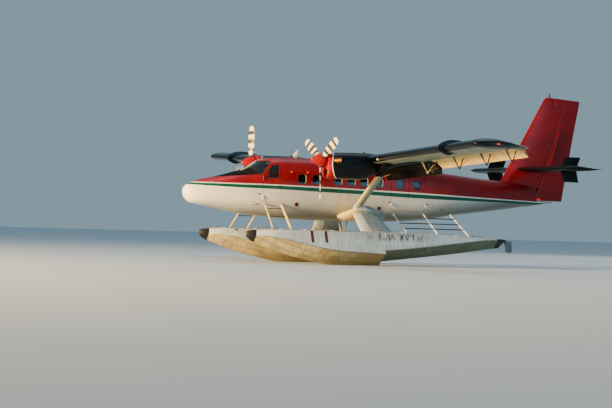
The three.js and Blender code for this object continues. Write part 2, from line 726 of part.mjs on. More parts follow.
// The top edge falls towards the tail.
function finTop() {
  const [front, rear, above] = [aft(14250), aft(15800), 6500];
  return sidePrism([[front, 6225], [rear, 6135], [rear, above], [front, above]], -400, 400);
}
const TAIL_GAP = 9;
const noseRadius = (thick) => thick * 0.4;

function finRing([height, leading, trailing, thick], from, to, round) {
  const points = [];
  const steps = 7;
  const chord = trailing - leading;
  const shape = (x) => {
    const t = (x - leading) / chord;
    const body = 4.4 * t ** 0.5 * (1 - t) ** 0.95 * 0.43;
    const nose = round ? Math.sqrt(Math.max(0, 1 - (1 - Math.min(1, (x - from) / round)) ** 2)) : 1;
    return (thick / 2) * Math.min(1, body) * nose + 3 * nose;
  };
  for (let i = 0; i <= steps; i++) {
    const x = from + (to - from) * (1 - Math.cos(((Math.PI / 2) * i) / steps));
    points.push([x, shape(x)]);
  }
  const upper = points.map(([x, y]) => [aft(x), y, height]).reverse();
  const lower = points.slice(round || from === leading ? 1 : 0).map(([x, y]) => [aft(x), -y, height]);
  return [...upper, ...lower];
}

// A solid made about the origin, with Z as its hinge line, set on the rudder's hinge line.
function onHinge(manifold, height) {
  const [[x0, z0], [x1, z1]] = [FIN_HINGE.low, FIN_HINGE.high];
  const lean = Math.atan2(x1 - x0, z1 - z0) / DEG;
  return manifold.rotate([0, lean, 0]).translate([aft(hingeAft(height)), 0, height]);
}

// The space round the rudder's hinge line.
function rudderPost(clear) {
  const ring = ([height, , , thick]) =>
    circle(noseRadius(thick) + clear, 16).map(([a, b]) => [aft(hingeAft(height)) + a, b, height]);
  return loft([[2200, 0, 0, finRows[0][3]], ...finRows].map(ring));
}

const finRows = refine(FIN, 2000);
function fin() {
  const rings = finRows.map((row) => finRing(row, row[1], Math.min(hingeAft(row[0]) - 20, row[2]), 0));
  const [low, high, rear] = [HORN.from - 18, 6500, 16200];
  const [lowFront, highFront] = [low, high].map((height) => hornFront(height) - HORN.gap);
  const cutAway = sidePrism(
    [[lowFront, low], [rear, low], [rear, high], [highFront, high]].map(([x, z]) => [aft(x), z]),
    -400,
    400,
  );
  const carrier = tailplaneForm(2 * GAP, 0.68).intersect(box(aft(13000), aft(14200), -400, 400, 3000, 4000));
  const lugs = RUDDER_LUGS.map((height) => {
    const reach = noseRadius(rowAt(finRows, height)[3]) + TAIL_GAP + 30;
    return onHinge(box(-reach, 14, -16, 16, -10, 10), height);
  });
  const body = loft(rings)
    .subtract(fuselage(11500, TAIL_END, GAP))
    .subtract(box(aft(11000), aft(16000), -500, 500, 2000, 2900))
    .subtract(rudderPost(TAIL_GAP))
    .subtract(cutAway)
    .subtract(finTop())
    .subtract(carrier);
  return union(body, ...lugs);
}

function rudder() {
  const body = loft(
    finRows.map((row) => {
      const front = hingeAft(row[0]) - noseRadius(row[3]);
      return finRing(row, front, row[2], noseRadius(row[3]));
    }),
  );
  const hornRows = [rowAt(finRows, HORN.from), ...finRows.filter(([height]) => height > HORN.from)];
  const horn = loft(hornRows.map((row) => finRing(row, hornFront(row[0]), row[2], noseRadius(row[3]))));
  return RUDDER_LUGS.reduce(
    (rest, height) => rest.subtract(onHinge(box(-300, 26, -300, 300, -10 - GAP, 10 + GAP), height)),
    union(body, horn).subtract(finTop()),
  );
}

// The tailplane's whole section, with its surface moved out by "grow", up to a chord fraction.
function tailplaneForm(grow, to) {
  const ring = (out, scale) =>
    tailSection(TAILPLANE.chord, 0.125, 0, to).map(([along, up]) => [
      aft(TAILPLANE.leading) + along + (along > TAILPLANE.chord / 3 ? grow : -grow),
      out,
      TAILPLANE.height + Math.sign(up) * (Math.abs(up) * scale + grow),
    ]);
  const { half } = TAILPLANE;
  const ends = [[half - 140, 1], [half - 60, 0.8], [half, 0.35]];
  return loft([
    ...ends.map(([out, scale]) => ring(-out, scale)).reverse(),
    ...ends.map(([out, scale]) => ring(out, scale)),
  ]);
}

const FINLET_Y = 2410;
const FINLET_THICK = 20;
const FINLET_OUTLINE = [
  [13335, 3520], [13525, 3080], [14135, 3072], [14025, 3530], [14200, 3968], [13535, 3956],
];

const ELEVATOR_START = 330; // elevator's inner end, from the centre line
const ELEVATOR_HINGE = TAILPLANE.leading + 0.715 * TAILPLANE.chord;
const ELEVATOR_LUGS = [620, 1700, 2800];

function tailplane() {
  const half = FINLET_THICK / 2 + GAP;
  const front = aft(FINLET_OUTLINE[0][0]) - GAP;
  const slot = (side) => box(front, aft(14200), side * FINLET_Y - half, side * FINLET_Y + half, 3300, 3800);
  const lugs = ELEVATOR_LUGS.flatMap((out) => [-out, out]).map((out) => {
    const x = aft(ELEVATOR_HINGE);
    const z = TAILPLANE.height;
    const outline = [[x - 90, z - 16], [x, z - 16], [x + 14, z], [x, z + 16], [x - 90, z + 16]];
    return sidePrism(outline, out - 10, out + 10);
  });
  return union(tailplaneForm(0, 0.68), ...lugs).subtract(slot(1)).subtract(slot(-1));
}

function elevator() {
  const shape = tailSection(TAILPLANE.chord, 0.125, 0.69, 1, 0.025, 6);
  const ring = (out, scale) =>
    shape.map(([along, up]) => [aft(TAILPLANE.leading) + along, out, TAILPLANE.height + up * scale]);
  const rings = [ring(ELEVATOR_START, 1), ring(TAILPLANE.half - 140, 1), ring(TAILPLANE.half - 10, 0.5)];
  const x = aft(ELEVATOR_HINGE);
  return ELEVATOR_LUGS.reduce(
    (body, out) => body.subtract(box(x - 80, x + 26, out - 10 - GAP, out + 10 + GAP, 3300, 3800)),
    loft(rings),
  );
}

function finlet() {
  const outline = FINLET_OUTLINE.map(([x, z]) => [aft(x), z]);
  return sidePrism(outline, FINLET_Y - FINLET_THICK / 2, FINLET_Y + FINLET_THICK / 2);
}

// Floats: aft, deck half width, chine half width, deck, chine, keel
const FOREBODY = [
  [1740, 120, 135, 1080, 905, 705],
  [2080, 235, 262, 1115, 905, 580],
  [2450, 305, 350, 1120, 868, 470],
  [2860, 355, 410, 1120, 800, 340],
  [3300, 390, 450, 1120, 705, 228],
  [4050, 415, 485, 1120, 562, 78],
  [4650, 420, 500, 1120, 485, 0],
  [5490, 420, 500, 1120, 440, 0],
  [STEP, 420, 500, 1120, 400, 0],
];
const AFTERBODY = [
  [STEP - 60, 420, 490, 1120, 515, 128],
  [7860, 405, 450, 1115, 650, 285],
  [9440, 350, 375, 1060, 830, 460],
  [10730, 285, 295, 1000, 955, 640],
  [11150, 250, 255, 970, 945, 690],
];
function floatRing([distance, deckHalf, chineHalf, deck, chine, keel], lean = 0) {
  const profile = [
    [deckHalf * 0.5, deck + 22],
    [deckHalf - 25, deck + 8],
    [deckHalf, deck - 24],
    [chineHalf, chine + 14],
    [chineHalf - 8, chine - 14],
    [chineHalf * 0.5, (chine + keel) / 2 - 14],
    [30, keel],
  ];
  const half = profile.map(([y, z]) => [aft(distance) + (lean * (z - keel)) / (deck - keel), y, z]);
  return [...half, ...half.map(([x, y, z]) => [x, -y, z]).reverse()];
}
const BOW = { from: 1740, lean: 50 };
const STERN_LEAN = 160; // deck's end behind the keel's
const WATER_RUDDER = { hinge: 11430, post: 16, top: 900, bottom: 520 };

function floatHull() {
  const fore = loft(refine(FOREBODY, 900).map((row, i) => floatRing(row, i === 0 ? BOW.lean : 0)));
  const rear = loft(AFTERBODY.map((row, i) => floatRing(row, i === AFTERBODY.length - 1 ? STERN_LEAN : 0)));
  const bracket = box(aft(11180), aft(WATER_RUDDER.hinge) - WATER_RUDDER.post - GAP, -12, 12, 800, 940);
  return union(fore, rear, bracket);
}

// Bumper: aft, scale of the half widths, deck, chine, keel
const BUMPER = [
  [BOW.from - GAP, 1, 1080, 905, 705],
  [1625, 0.86, 1072, 915, 758],
  [1520, 0.58, 1050, 930, 830],
  [1461, 0.2, 1010, 950, 905],
];
const bumper = () =>
  loft(
    BUMPER.map(([distance, scale, deck, chine, keel], i) =>
      floatRing([distance, 120 * scale, 135 * scale, deck, chine, keel], BOW.lean * (1 - i / 3)),
    ),
  );

function waterRudder() {
  const { hinge, top, bottom, post: radius } = WATER_RUDDER;
  const x = aft(hinge);
  const outline = [
    [x + 22, top + 70], [x + 300, top + 10], [x + 330, bottom + 60], [x + 250, bottom], [x + 60, bottom + 30],
  ];
  const blade = sidePrism(outline, -9, 9);
  const ring = (z) => circle(radius).map(([a, b]) => [x + a, b, z]);
  const post = loft([ring(top - 100), ring(top + 90)]);
  const web = box(x, x + 60, -9, 9, top - 100, top + 70);
  return union(blade, post, web);
}

// Struts. All on the port side.

function wingStrut() {
  const low = [aft(5855), -1200, 1838];
  const high = [aft(5855), -3520, 3480];
  const strut = member(low, high, teardrop(300, 92));
  const wing = mirrored(wingBox(2000, 5000));
  return strut.subtract(wing.translate([0, 0, -3 * GAP])).subtract(stubForm(GAP));
}

// Stub fairing: out, front, back, height of the middle, half thickness
const STUB = [
  [700, 5430, 7150, 1690, 175],
  [900, 5470, 7140, 1725, 178],
  [1150, 5560, 7060, 1800, 165],
  [1330, 5650, 6900, 1885, 125],
  [1420, 5730, 6600, 1920, 85],
  [1455, 5800, 6300, 1930, 45],
];
// How far its nose and its tail fall below that middle, per length, doubled
const STUB_DROOP = { nose: 110, tail: 200 };
function stubForm(grow) {
  return loft(
    STUB.map(([out, front, back, middle, half]) => {
      const length = back - front + 2 * grow;
      const centre = (front + back) / 2;
      return teardrop(length, 2 * (half + grow), 20).map(([along, up]) => [
        aft(centre + along),
        -out - grow * Math.sign(out - 1000),
        middle + up - (Math.abs(along) / length) * (along < 0 ? STUB_DROOP.nose : STUB_DROOP.tail),
      ]);
    }),
  );
}
const stub = () => stubForm(0).subtract(fuselage(4800, 7400, 2 * GAP));

function mainLeg() {
  const high = [aft(6150), -1240, 1802];
  const low = [aft(6380), -1870, 1090];
  const leg = loft([
    teardrop(900, 160, 16).map(([along, across]) => [high[0] + along, high[1] - across, high[2]]),
    teardrop(1230, 215, 16).map(([along, across]) => [low[0] + along, low[1] - across, low[2]]),
  ]);
  return leg.subtract(stubForm(GAP)).subtract(floatPlaced(-1, GAP));
}

// The float's hull in its place, moved a little up or inboard, to cut what stands on it.
const floatPlaced = (side, raise, inward = 0) => floatHull().translate([0, side * (FLOAT_Y - inward), raise]);

function frontFrame() {
  const top = { y: -735, z: 2030 };
  const foot = { y: -1760, z: 1110 };
  const front = member([aft(2640), top.y, top.z], [aft(2520), foot.y, foot.z], circle(26, 8));
  const back = member([aft(3255), top.y, top.z], [aft(3200), foot.y, foot.z], circle(44, 8));
  const rungs = [0.22, 0.5].map((t) =>
    member(
      [aft(2640 - 120 * t), top.y + (foot.y - top.y) * t, top.z + (foot.z - top.z) * t],
      [aft(3255 - 55 * t), top.y + (foot.y - top.y) * t, top.z + (foot.z - top.z) * t],
      circle(16, 6),
    ),
  );
  return union(front, back, ...rungs)
    .subtract(fuselage(2000, 4000, GAP))
    .subtract(floatPlaced(-1, GAP));
}

function spreader(distance, height, brace) {
  const half = FLOAT_Y - 200;
  const oval = circle(1).map(([a, b]) => [a * 75, b * 38]);
  const bar = member([aft(distance), -half, height], [aft(distance), half, height], oval);
  const legs = brace.map(([foot, top]) =>
    member([aft(distance + foot), 0, height], [aft(top), 0, 1560], circle(28, 10)),
  );
  return union(bar, ...legs)
    .subtract(floatPlaced(-1, 0, GAP))
    .subtract(floatPlaced(1, 0, GAP))
    .subtract(fuselage(5000, 7000, GAP));
}

// Boarding rack: post's station at the top and at the foot
const RACK_POSTS = [
  [7590, 7600],
  [8830, 8800],
  [9920, 10020],
];
function boardingRack() {
  const top = { y: -700, z: 1800 };
  const foot = { y: -1840, z: 1060 };
  const at = ([high, low], t) => [
    aft(high + (low - high) * t), top.y + (foot.y - top.y) * t, top.z + (foot.z - top.z) * t,
  ];
  const posts = RACK_POSTS.map((post) => member(at(post, 0), at(post, 1), circle(24, 6)));
  const bars = [
    [1, 0.2],
    [0, 0.45],
    [0, 0.69],
  ].map(([first, t]) => member(at(RACK_POSTS[first], t), at(RACK_POSTS[2], t), circle(17, 6)));
  return union(...posts, ...bars)
    .subtract(fuselage(7000, 11000, GAP))
    .subtract(floatPlaced(-1, GAP));
}

// The assembly.

const paint = (color, roughness = 0.4, metalness = 0) =>
  new THREE.MeshStandardMaterial({ color, roughness, metalness });
const COLOURS = {
  red: "#b3141b", white: "#e6dfd0", cream: "#d9cfae", black: "#15181c", glass: "#26323a", rubber: "#231f1f",
  grey: "#8d9090", seat: "#3a4252", blade: "#1b1b1d", metal: "#8c8f91",
};

const plane = new THREE.Group();

function place(name, manifold, color, parent = plane) {
  const mesh = new THREE.Mesh(geometryOf(manifold.asOriginal().simplify(FLATNESS)), paint(COLOURS[color]));
  mesh.name = name;
  parent.add(mesh);
  return mesh;
}
const SIDES = [
  ["port", -1],
  ["starboard", 1],
];
// A piece made on the port side, and its mirror image.
function placePair(name, portSolid, color) {
  place(name + "_port", portSolid, color);
  place(name + "_starboard", mirrored(portSolid), color);
}

place("radome", loft(RADOME.map((row) => bodyRing(row, 0))), "white");
place("nose_section", fuselage(RADOME_END + GAP, COCKPIT.from), "red");
place("cockpit_shell", cockpitShell(), "red");
place("cabin_shell", cabinShell(), "red");
place("tail_cone", tailCone(), "red");
placePair("windshield", windshieldGlass(), "glass");
placePair("crew_door", doorSolid(DOORS.crew), "red");
place("cargo_door_front", doorSolid(DOORS.cargoFront), "white");
place("cargo_door_rear", doorSolid(DOORS.cargoRear), "white");
place("cabin_door_starboard", mirrored(doorSolid(DOORS.starboard)), "white");
place("instrument_panel", instrumentPanel(), "black");
placePair("crew_seat", crewSeat(), "seat");
place("cabin_seats_port", cabinSeats(-740, -310), "seat");
place("cabin_seats_starboard", cabinSeats(60, 740), "seat");

const starboardWing = wingPanel();
placePair("wing", mirrored(starboardWing), "cream");

for (const [name, side] of SIDES) {
  const handed = (manifold) => (side > 0 ? manifold : mirrored(manifold));
  // Turning the starboard flap down is a positive turn about +Y; the axis rises outboard with the wing.
  const axis = [0, Math.cos(DIHEDRAL), side * Math.sin(DIHEDRAL)];
  const flaps = [
    ["inboard", FLAP_START, FLAP_BREAK - 5, FLAP_ARMS.inboard, INBOARD_FLAP, "black"],
    ["outboard", FLAP_BREAK + 5, FLAP_END - 12, FLAP_ARMS.outboard, OUTBOARD_FLAP, "cream"],
  ];
  for (const [part, from, to, arms, angles, color] of flaps) {
    const [px, py, pz] = wingPoint(FLAP_PIVOT.along, -FLAP_PIVOT.down, 0);
    const [ax, ay, az] = wingPoint(AFT_HINGE.along, AFT_HINGE.up, 0);
    const foreName = part === "inboard" ? "flap_inboard_" : "flap_outboard_";
    const aftName = part === "inboard" ? "flap_aft_" : "aileron_";
    const pivot = new THREE.Group();
    pivot.position.set(px, side * py, pz);
    pivot.quaternion.setFromAxisAngle(new THREE.Vector3(...axis), angles.fore);
    plane.add(pivot);
    place(foreName + name, handed(foreFlap(from, to, arms)).translate([-px, -side * py, -pz]), color, pivot);
    const second = new THREE.Group();
    second.position.set(ax - px, side * (ay - py), az - pz);
    second.quaternion.setFromAxisAngle(new THREE.Vector3(...axis), angles.aft);
    pivot.add(second);
    place(aftName + name, handed(aftFlap(from, to)).translate([-ax, -side * ay, -az]), color, second);
  }
}

const starboardNacelle = nacelle();
placePair("nacelle", mirrored(starboardNacelle), "black");
placePair("engine", mirrored(engineBlock()), "metal");

const BLADE_PHASE = { port: 180, starboard: 0 };
for (const [name, side] of SIDES) {
  const hub = new THREE.Group();
  hub.position.set(aft(ENGINE.disc), side * ENGINE.y, ENGINE.height);
  hub.rotation.x = BLADE_PHASE[name] * DEG;
  plane.add(hub);
  place("propeller_" + name, propeller(), "blade", hub);
  place("spinner_" + name, spinner(), "red", hub);
}

place("fin", fin(), "red");
place("rudder", rudder(), "red");
place("tailplane", tailplane(), "black");
placePair("elevator", mirrored(elevator()), "black");
placePair("finlet", mirrored(finlet()), "black");

for (const [name, side] of SIDES) {
  const float = new THREE.Group();
  float.position.y = side * FLOAT_Y;
  plane.add(float);
  place("float_" + name, floatHull(), "white", float);
  place("bow_bumper_" + name, bumper(), "rubber", float);
  place("water_rudder_" + name, waterRudder(), "grey", float);
}

placePair("wing_strut", wingStrut(), "cream");
placePair("stub_fairing", stub(), "white");
placePair("main_leg", mainLeg(), "white");
placePair("front_frame", frontFrame(), "white");
place("spreader_front", spreader(3240, 1050, []), "white");
place("spreader_main", spreader(6010, 1050, [[-30, 5850], [30, 6230]]), "cream");
place("boarding_rack", boardingRack(), "white");

export default plane;
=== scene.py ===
"""The looks of a twin-propeller floatplane: painted skins, glass, rubber, seats and the studio round it.

Sizes are in millimetres as on a drawing: aft of the nose tip, out from the centre line (port is minus), and
height above the keels. spot() turns them into the frame's metres.
"""

import math

import bmesh
import bpy
from mathutils import Matrix, Vector


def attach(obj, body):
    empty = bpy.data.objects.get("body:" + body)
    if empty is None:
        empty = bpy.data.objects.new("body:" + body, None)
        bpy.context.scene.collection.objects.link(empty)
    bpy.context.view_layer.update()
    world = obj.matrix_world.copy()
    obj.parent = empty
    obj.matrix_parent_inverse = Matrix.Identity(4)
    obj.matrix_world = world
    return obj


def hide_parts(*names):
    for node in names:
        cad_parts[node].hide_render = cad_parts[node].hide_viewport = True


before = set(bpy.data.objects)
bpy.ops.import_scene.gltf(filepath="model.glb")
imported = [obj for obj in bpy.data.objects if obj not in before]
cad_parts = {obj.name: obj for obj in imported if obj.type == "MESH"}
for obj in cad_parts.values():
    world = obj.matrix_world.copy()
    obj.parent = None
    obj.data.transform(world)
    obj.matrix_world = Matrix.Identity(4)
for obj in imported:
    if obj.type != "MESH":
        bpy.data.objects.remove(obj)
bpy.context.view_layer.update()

MM = 0.001
LENGTH = 15770
DIHEDRAL = math.radians(3)
INCIDENCE = math.radians(2.5)
WALL = 60
FLOOR = 1950
SIDES = (("port", -1), ("starboard", 1))


def spot(aft, out, height):
    """A drawing's point in the frame, in metres."""
    return Vector(((aft - LENGTH / 2) * MM, out * MM, height * MM))


# Tables between whose rows a smooth curve runs.


def slope(before, here, after, c):
    """The slope of column c at a row: level at a peak, so that the curve never overshoots."""
    falls = (here[c] - before[c]) * (after[c] - here[c]) < 0
    level = (before is not here and here[c] == before[c]) or (after is not here and here[c] == after[c])
    return 0.0 if falls or level else (after[c] - before[c]) / (after[0] - before[0])


def refined(table, step):
    """The table with rows at finer steps."""
    rows = []
    for i in range(len(table) - 1):
        a, b = table[i], table[i + 1]
        before, after = table[max(i - 1, 0)], table[min(i + 2, len(table) - 1)]
        run = b[0] - a[0]
        parts = max(1, round(run / step))
        for k in range(parts):
            t = k / parts
            row = [a[0] + run * t]
            for c in range(1, len(a)):
                slope_a, slope_b = slope(before, a, b, c), slope(a, b, after, c)
                row.append(
                    (2 * t**3 - 3 * t**2 + 1) * a[c]
                    + (t**3 - 2 * t**2 + t) * run * slope_a
                    + (3 * t**2 - 2 * t**3) * b[c]
                    + (t**3 - t**2) * run * slope_b
                )
            rows.append(row)
    rows.append(list(table[-1]))
    return rows


def row_at(rows, place):
    """The value of each column at one place."""
    i = next((k for k, row in enumerate(rows) if row[0] >= place), len(rows) - 1)
    a, b = rows[max(i, 1) - 1], rows[max(i, 1)]
    t = (place - a[0]) / (b[0] - a[0])
    return [start + (end - start) * t for start, end in zip(a, b)]


# Meshes.


def only_verts(geometry):
    return [item for item in geometry if isinstance(item, bmesh.types.BMVert)]


def loft(sections, capped=True):
    """A skin through sections of equally many points: a ring is extruded on from each to the next."""
    bm = bmesh.new()
    ring = bmesh.ops.create_circle(bm, segments=len(sections[0]), radius=1)["verts"]
    for number, points in enumerate(sections):
        if number:
            edges = [bm.edges.get(pair) for pair in zip(ring, ring[1:] + ring[:1])]
            made = set(only_verts(bmesh.ops.extrude_edge_only(bm, edges=edges)["geom"]))
            ring = [next(e.other_vert(v) for e in v.link_edges if e.other_vert(v) in made) for v in ring]
        for vert, point in zip(ring, points):
            vert.co = point
    if capped:
        bmesh.ops.holes_fill(bm, edges=bm.edges[:], sides=0)
    bmesh.ops.recalc_face_normals(bm, faces=bm.faces[:])
    return bm


def slab(points, push, corner=0, segments=6):
    """A flat outline, its corners rounded, pushed out into a plate or a cutter."""
    bm = bmesh.new()
    bm.faces.new([bm.verts.new(point) for point in points])
    if corner:
        bmesh.ops.bevel(
            bm, geom=bm.verts[:], offset=corner * MM, offset_type="OFFSET", affect="VERTICES",
            segments=segments, profile=0.5, material=-1,
        )
    grown = bmesh.ops.extrude_face_region(bm, geom=bm.faces[:])["geom"]
    bmesh.ops.translate(bm, verts=only_verts(grown), vec=push)
    bmesh.ops.recalc_face_normals(bm, faces=bm.faces[:])
    return bm


def side_plate(outline, out_from, out_to, corner=0):
    """A slab whose outline, of (aft, height) points, is seen from the side."""
    points = [spot(aft, out_from, height) for aft, height in outline]
    return slab(points, Vector((0, (out_to - out_from) * MM, 0)), corner)


def block(aft, out, height):
    """A box between pairs of limits."""
    bm = bmesh.new()
    bmesh.ops.create_cube(bm, size=1)
    low, high = spot(aft[0], out[0], height[0]), spot(aft[1], out[1], height[1])
    bmesh.ops.scale(bm, vec=high - low, verts=bm.verts[:])
    bmesh.ops.translate(bm, vec=(low + high) / 2, verts=bm.verts[:])
    return bm


def rounded(bm, radius, segments=3, angle=30):
    """The body with its sharper edges rounded."""
    edges = [e for e in bm.edges if len(e.link_faces) == 2 and e.calc_face_angle(0) > math.radians(angle)]
    bmesh.ops.bevel(
        bm, geom=edges, offset=radius * MM, offset_type="OFFSET", affect="EDGES", segments=segments,
        profile=0.5, material=-1, clamp_overlap=True,
    )
    return bm


def from_mesh(mesh):
    """A mesh as a body to work on. The mesh is removed."""
    bm = bmesh.new()
    bm.from_mesh(mesh)
    bpy.data.meshes.remove(mesh)
    return bm


def joined(*bodies):
    """Several bodies as one new body. They are used up."""
    mesh = bpy.data.meshes.new("joined")
    whole = bmesh.new()
    for body in bodies:
        body.to_mesh(mesh)
        whole.from_mesh(mesh)
        body.free()
    bpy.data.meshes.remove(mesh)
    return whole


def mirrored(bm):
    """A copy of the body for the other side of the centre line."""
    other = bm.copy()
    bmesh.ops.scale(other, vec=(1, -1, 1), verts=other.verts[:])
    bmesh.ops.reverse_faces(other, faces=other.faces[:])
    return other


def both(*bodies):
    """The bodies of one side and the same ones on the other."""
    return joined(*bodies, *[mirrored(bm) for bm in bodies])


def shifted(bm, aft=0, out=0):
    """A copy of the body, moved."""
    copy = bm.copy()
    bmesh.ops.translate(copy, vec=(aft * MM, out * MM, 0), verts=copy.verts[:])
    return copy


def scratch_object(bm):
    """An object for a modifier to work on or with, which is discarded after use. The body is used up."""
    mesh = bpy.data.meshes.new("scratch")
    bm.to_mesh(mesh)
    bm.free()
    made = bpy.data.objects.new("scratch", mesh)
    bpy.context.scene.collection.objects.link(made)
    return made


def evaluated_mesh(made):
    return bpy.data.meshes.new_from_object(made.evaluated_get(bpy.context.evaluated_depsgraph_get()))


def discard(*objects):
    for made in objects:
        mesh = made.data
        bpy.data.objects.remove(made)
        bpy.data.meshes.remove(mesh)


def carved(bm, *tools, operation="DIFFERENCE"):
    """The body after other bodies are cut out of it, joined to it, or kept as what both share."""
    target = scratch_object(bm)
    helpers = [scratch_object(tool) for tool in tools]
    for helper in helpers:
        modifier = target.modifiers.new("carve", "BOOLEAN")
        modifier.solver = "EXACT"
        modifier.operation = operation
        modifier.object = helper
    result = from_mesh(evaluated_mesh(target))
    discard(target, *helpers)
    return result


def kept(bm, tool):
    """What the body shares with another."""
    return carved(bm, tool, operation="INTERSECT")


def circle(radius, count=24):
    turns = [2 * math.pi * i / count for i in range(count)]
    return [(radius * math.cos(turn), radius * math.sin(turn)) for turn in turns]


def teardrop(chord, thick, count=36):
    """A streamlined section, full in front and slender behind, as (along, across) offsets."""
    return [(-c * chord * 0.5, s * thick * 0.5 * (1 + 0.35 * c)) for c, s in circle(1, count)]


def member(start, end, section, end_section=None):
    """A straight bar between two (aft, out, height) places, with a section of (along, up) offsets."""
    low, high = spot(*start), spot(*end)
    axis = (high - low).normalized()
    along = Vector((0, 1, 0)) if abs(axis.x) > 0.9 else Vector((1, 0, 0))
    along = (along - axis * along.dot(axis)).normalized()
    up = axis.cross(along)
    rings = [(low, section), (high, end_section or section)]
    return loft([[point + along * a * MM + up * b * MM for a, b in offsets] for point, offsets in rings])


def pipe(places, radius, count=12):
    """A round tube along (aft, out, height) places."""
    points = [spot(*place) for place in places]
    rings = []
    for i, point in enumerate(points):
        axis = (points[min(i + 1, len(points) - 1)] - points[max(i - 1, 0)]).normalized()
        across = axis.cross(Vector((0.02, 0.03, 1) if abs(axis.z) < 0.9 else (1, 0.02, 0.03))).normalized()
        up = axis.cross(across)
        rings.append([point + across * a * MM + up * b * MM for a, b in circle(radius, count)])
    return loft(rings)


def disc(centre, radius, thick, axis="Y", count=28):
    """A round cap whose flat faces look along an axis."""
    bm = bmesh.new()
    bmesh.ops.create_cone(
        bm, cap_ends=True, segments=count, radius1=radius * MM, radius2=radius * MM, depth=thick * MM
    )
    turn = {"X": Matrix.Rotation(math.pi / 2, 3, "Y"), "Y": Matrix.Rotation(math.pi / 2, 3, "X")}
    if axis in turn:
        bmesh.ops.rotate(bm, verts=bm.verts[:], matrix=turn[axis])
    bmesh.ops.translate(bm, verts=bm.verts[:], vec=spot(*centre))
    return bm


def turned(profile, centre, count=48):
    """A body spun round a line along X, from (back, radius) points of which both ends are on the line."""
    bm = bmesh.new()
    middle = spot(*centre)
    verts = [bm.verts.new(middle + Vector((back * MM, 0, radius * MM))) for back, radius in profile]
    edges = [bm.edges.new(pair) for pair in zip(verts, verts[1:])]
    bmesh.ops.spin(
        bm, geom=verts + edges, cent=middle, axis=(1, 0, 0), angle=2 * math.pi, steps=count, use_merge=True
    )
    bmesh.ops.remove_doubles(bm, verts=bm.verts[:], dist=1e-5)
    bmesh.ops.recalc_face_normals(bm, faces=bm.faces[:])
    return bm


def dress(bm, rule):
    """Gives each face the number of its material, from its middle in millimetres and its normal."""
    bm.normal_update()
    for face in bm.faces:
        middle = face.calc_center_median() / MM
        face.material_index = rule(middle.x + LENGTH / 2, middle.y, middle.z, face.normal)
    return bm


def piece(name, bm, finishes, body="airframe", replaces=(), sharp=32):
    """The finished piece: smooth, with hard edges where the faces turn sharply, riding on its body."""
    mesh = bpy.data.meshes.new(name)
    bm.to_mesh(mesh)
    bm.free()
    for finish in finishes if isinstance(finishes, list) else [finishes]:
        mesh.materials.append(finish)
    mesh.shade_smooth()
    mesh.set_sharp_from_angle(angle=math.radians(sharp))
    made = bpy.data.objects.new(name, mesh)
    bpy.context.scene.collection.objects.link(made)
    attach(made, body)
    if replaces:
        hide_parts(*replaces)
    return made


def pair(name, bm, finishes, body="airframe", replaces=None, slot=None, sharp=32, drawn=1):
    """The piece on both sides, from a body drawn to port (-1) or starboard (1). In names, {} is the side."""
    for side, sign in SIDES:
        made = bm.copy() if sign == drawn else mirrored(bm)
        replaced = (replaces.format(side),) if replaces else ()
        piece(name.format(side), made, finishes, body.format(side), replaced, sharp)


# Materials.


def colour(code):
    """An sRGB hex value as a linear colour."""
    values = [int(code[i : i + 2], 16) / 255 for i in (1, 3, 5)]
    return (*[v / 12.92 if v <= 0.04045 else ((v + 0.055) / 1.055) ** 2.4 for v in values], 1.0)


def wire(made, inputs):
    """Sets each input to a value or a hex colour, or links it to another node's output."""
    for name, value in inputs.items():
        if isinstance(value, bpy.types.NodeSocket):
            made.id_data.links.new(value, made.inputs[name])
        else:
            made.inputs[name].default_value = colour(value) if isinstance(value, str) else value


def node(tree, kind, inputs, out=0, curve=None, **settings):
    """Adds a node with its settings and links, and returns one of its outputs."""
    made = tree.nodes.new("ShaderNode" + kind)
    for name, value in settings.items():
        setattr(made, name, value)
    if curve:
        points = made.mapping.curves[0].points
        points[0].location, points[1].location = curve[0], curve[-1]
        for point in curve[1:-1]:
            points.new(*point)
        made.mapping.update()
    wire(made, inputs)
    return made.outputs[out]


def blank(name, **sockets):
    """A material with one shader, whose constant sockets are set, and the object's own coordinates."""
    material = bpy.data.materials.new(name)
    material.use_nodes = True
    tree = material.node_tree
    shader = tree.nodes["Principled BSDF"]
    wire(shader, {socket.replace("_", " "): value for socket, value in sockets.items()})
    return material, tree, shader, node(tree, "TexCoord", {}, "Object")


def weathered(tree, place, clean, worn, size, amount=0.5, stretch=(1, 1, 1)):
    """A colour that drifts from clean to worn in soft blotches of a size in millimetres. Either colour may be a
    hex value or another pattern's output."""
    spread = node(tree, "Mapping", {"Vector": place, "Scale": stretch})
    noise = node(tree, "TexNoise", {"Vector": spread, "Scale": 1 / (size * MM), "Detail": 6.0, "Roughness": 0.62})
    reach = node(tree, "MapRange", {"Value": noise, "From Min": 0.42, "From Max": 0.72, "To Max": amount})
    return node(tree, "Mix", {0: reach, 6: clean, 7: worn}, 2, data_type="RGBA")


def turning(tree, value, start, end, amount, shade, tint):
    """A colour that turns towards a tint, by up to an amount, while a value runs from start to end."""
    share = node(tree, "MapRange", {"Value": value, "From Min": start, "From Max": end, "To Max": amount})
    return node(tree, "Mix", {0: share, 6: shade, 7: tint}, 2, data_type="RGBA")


# How far either side of a joint the rivets lie.
RIVET_BAND = 22


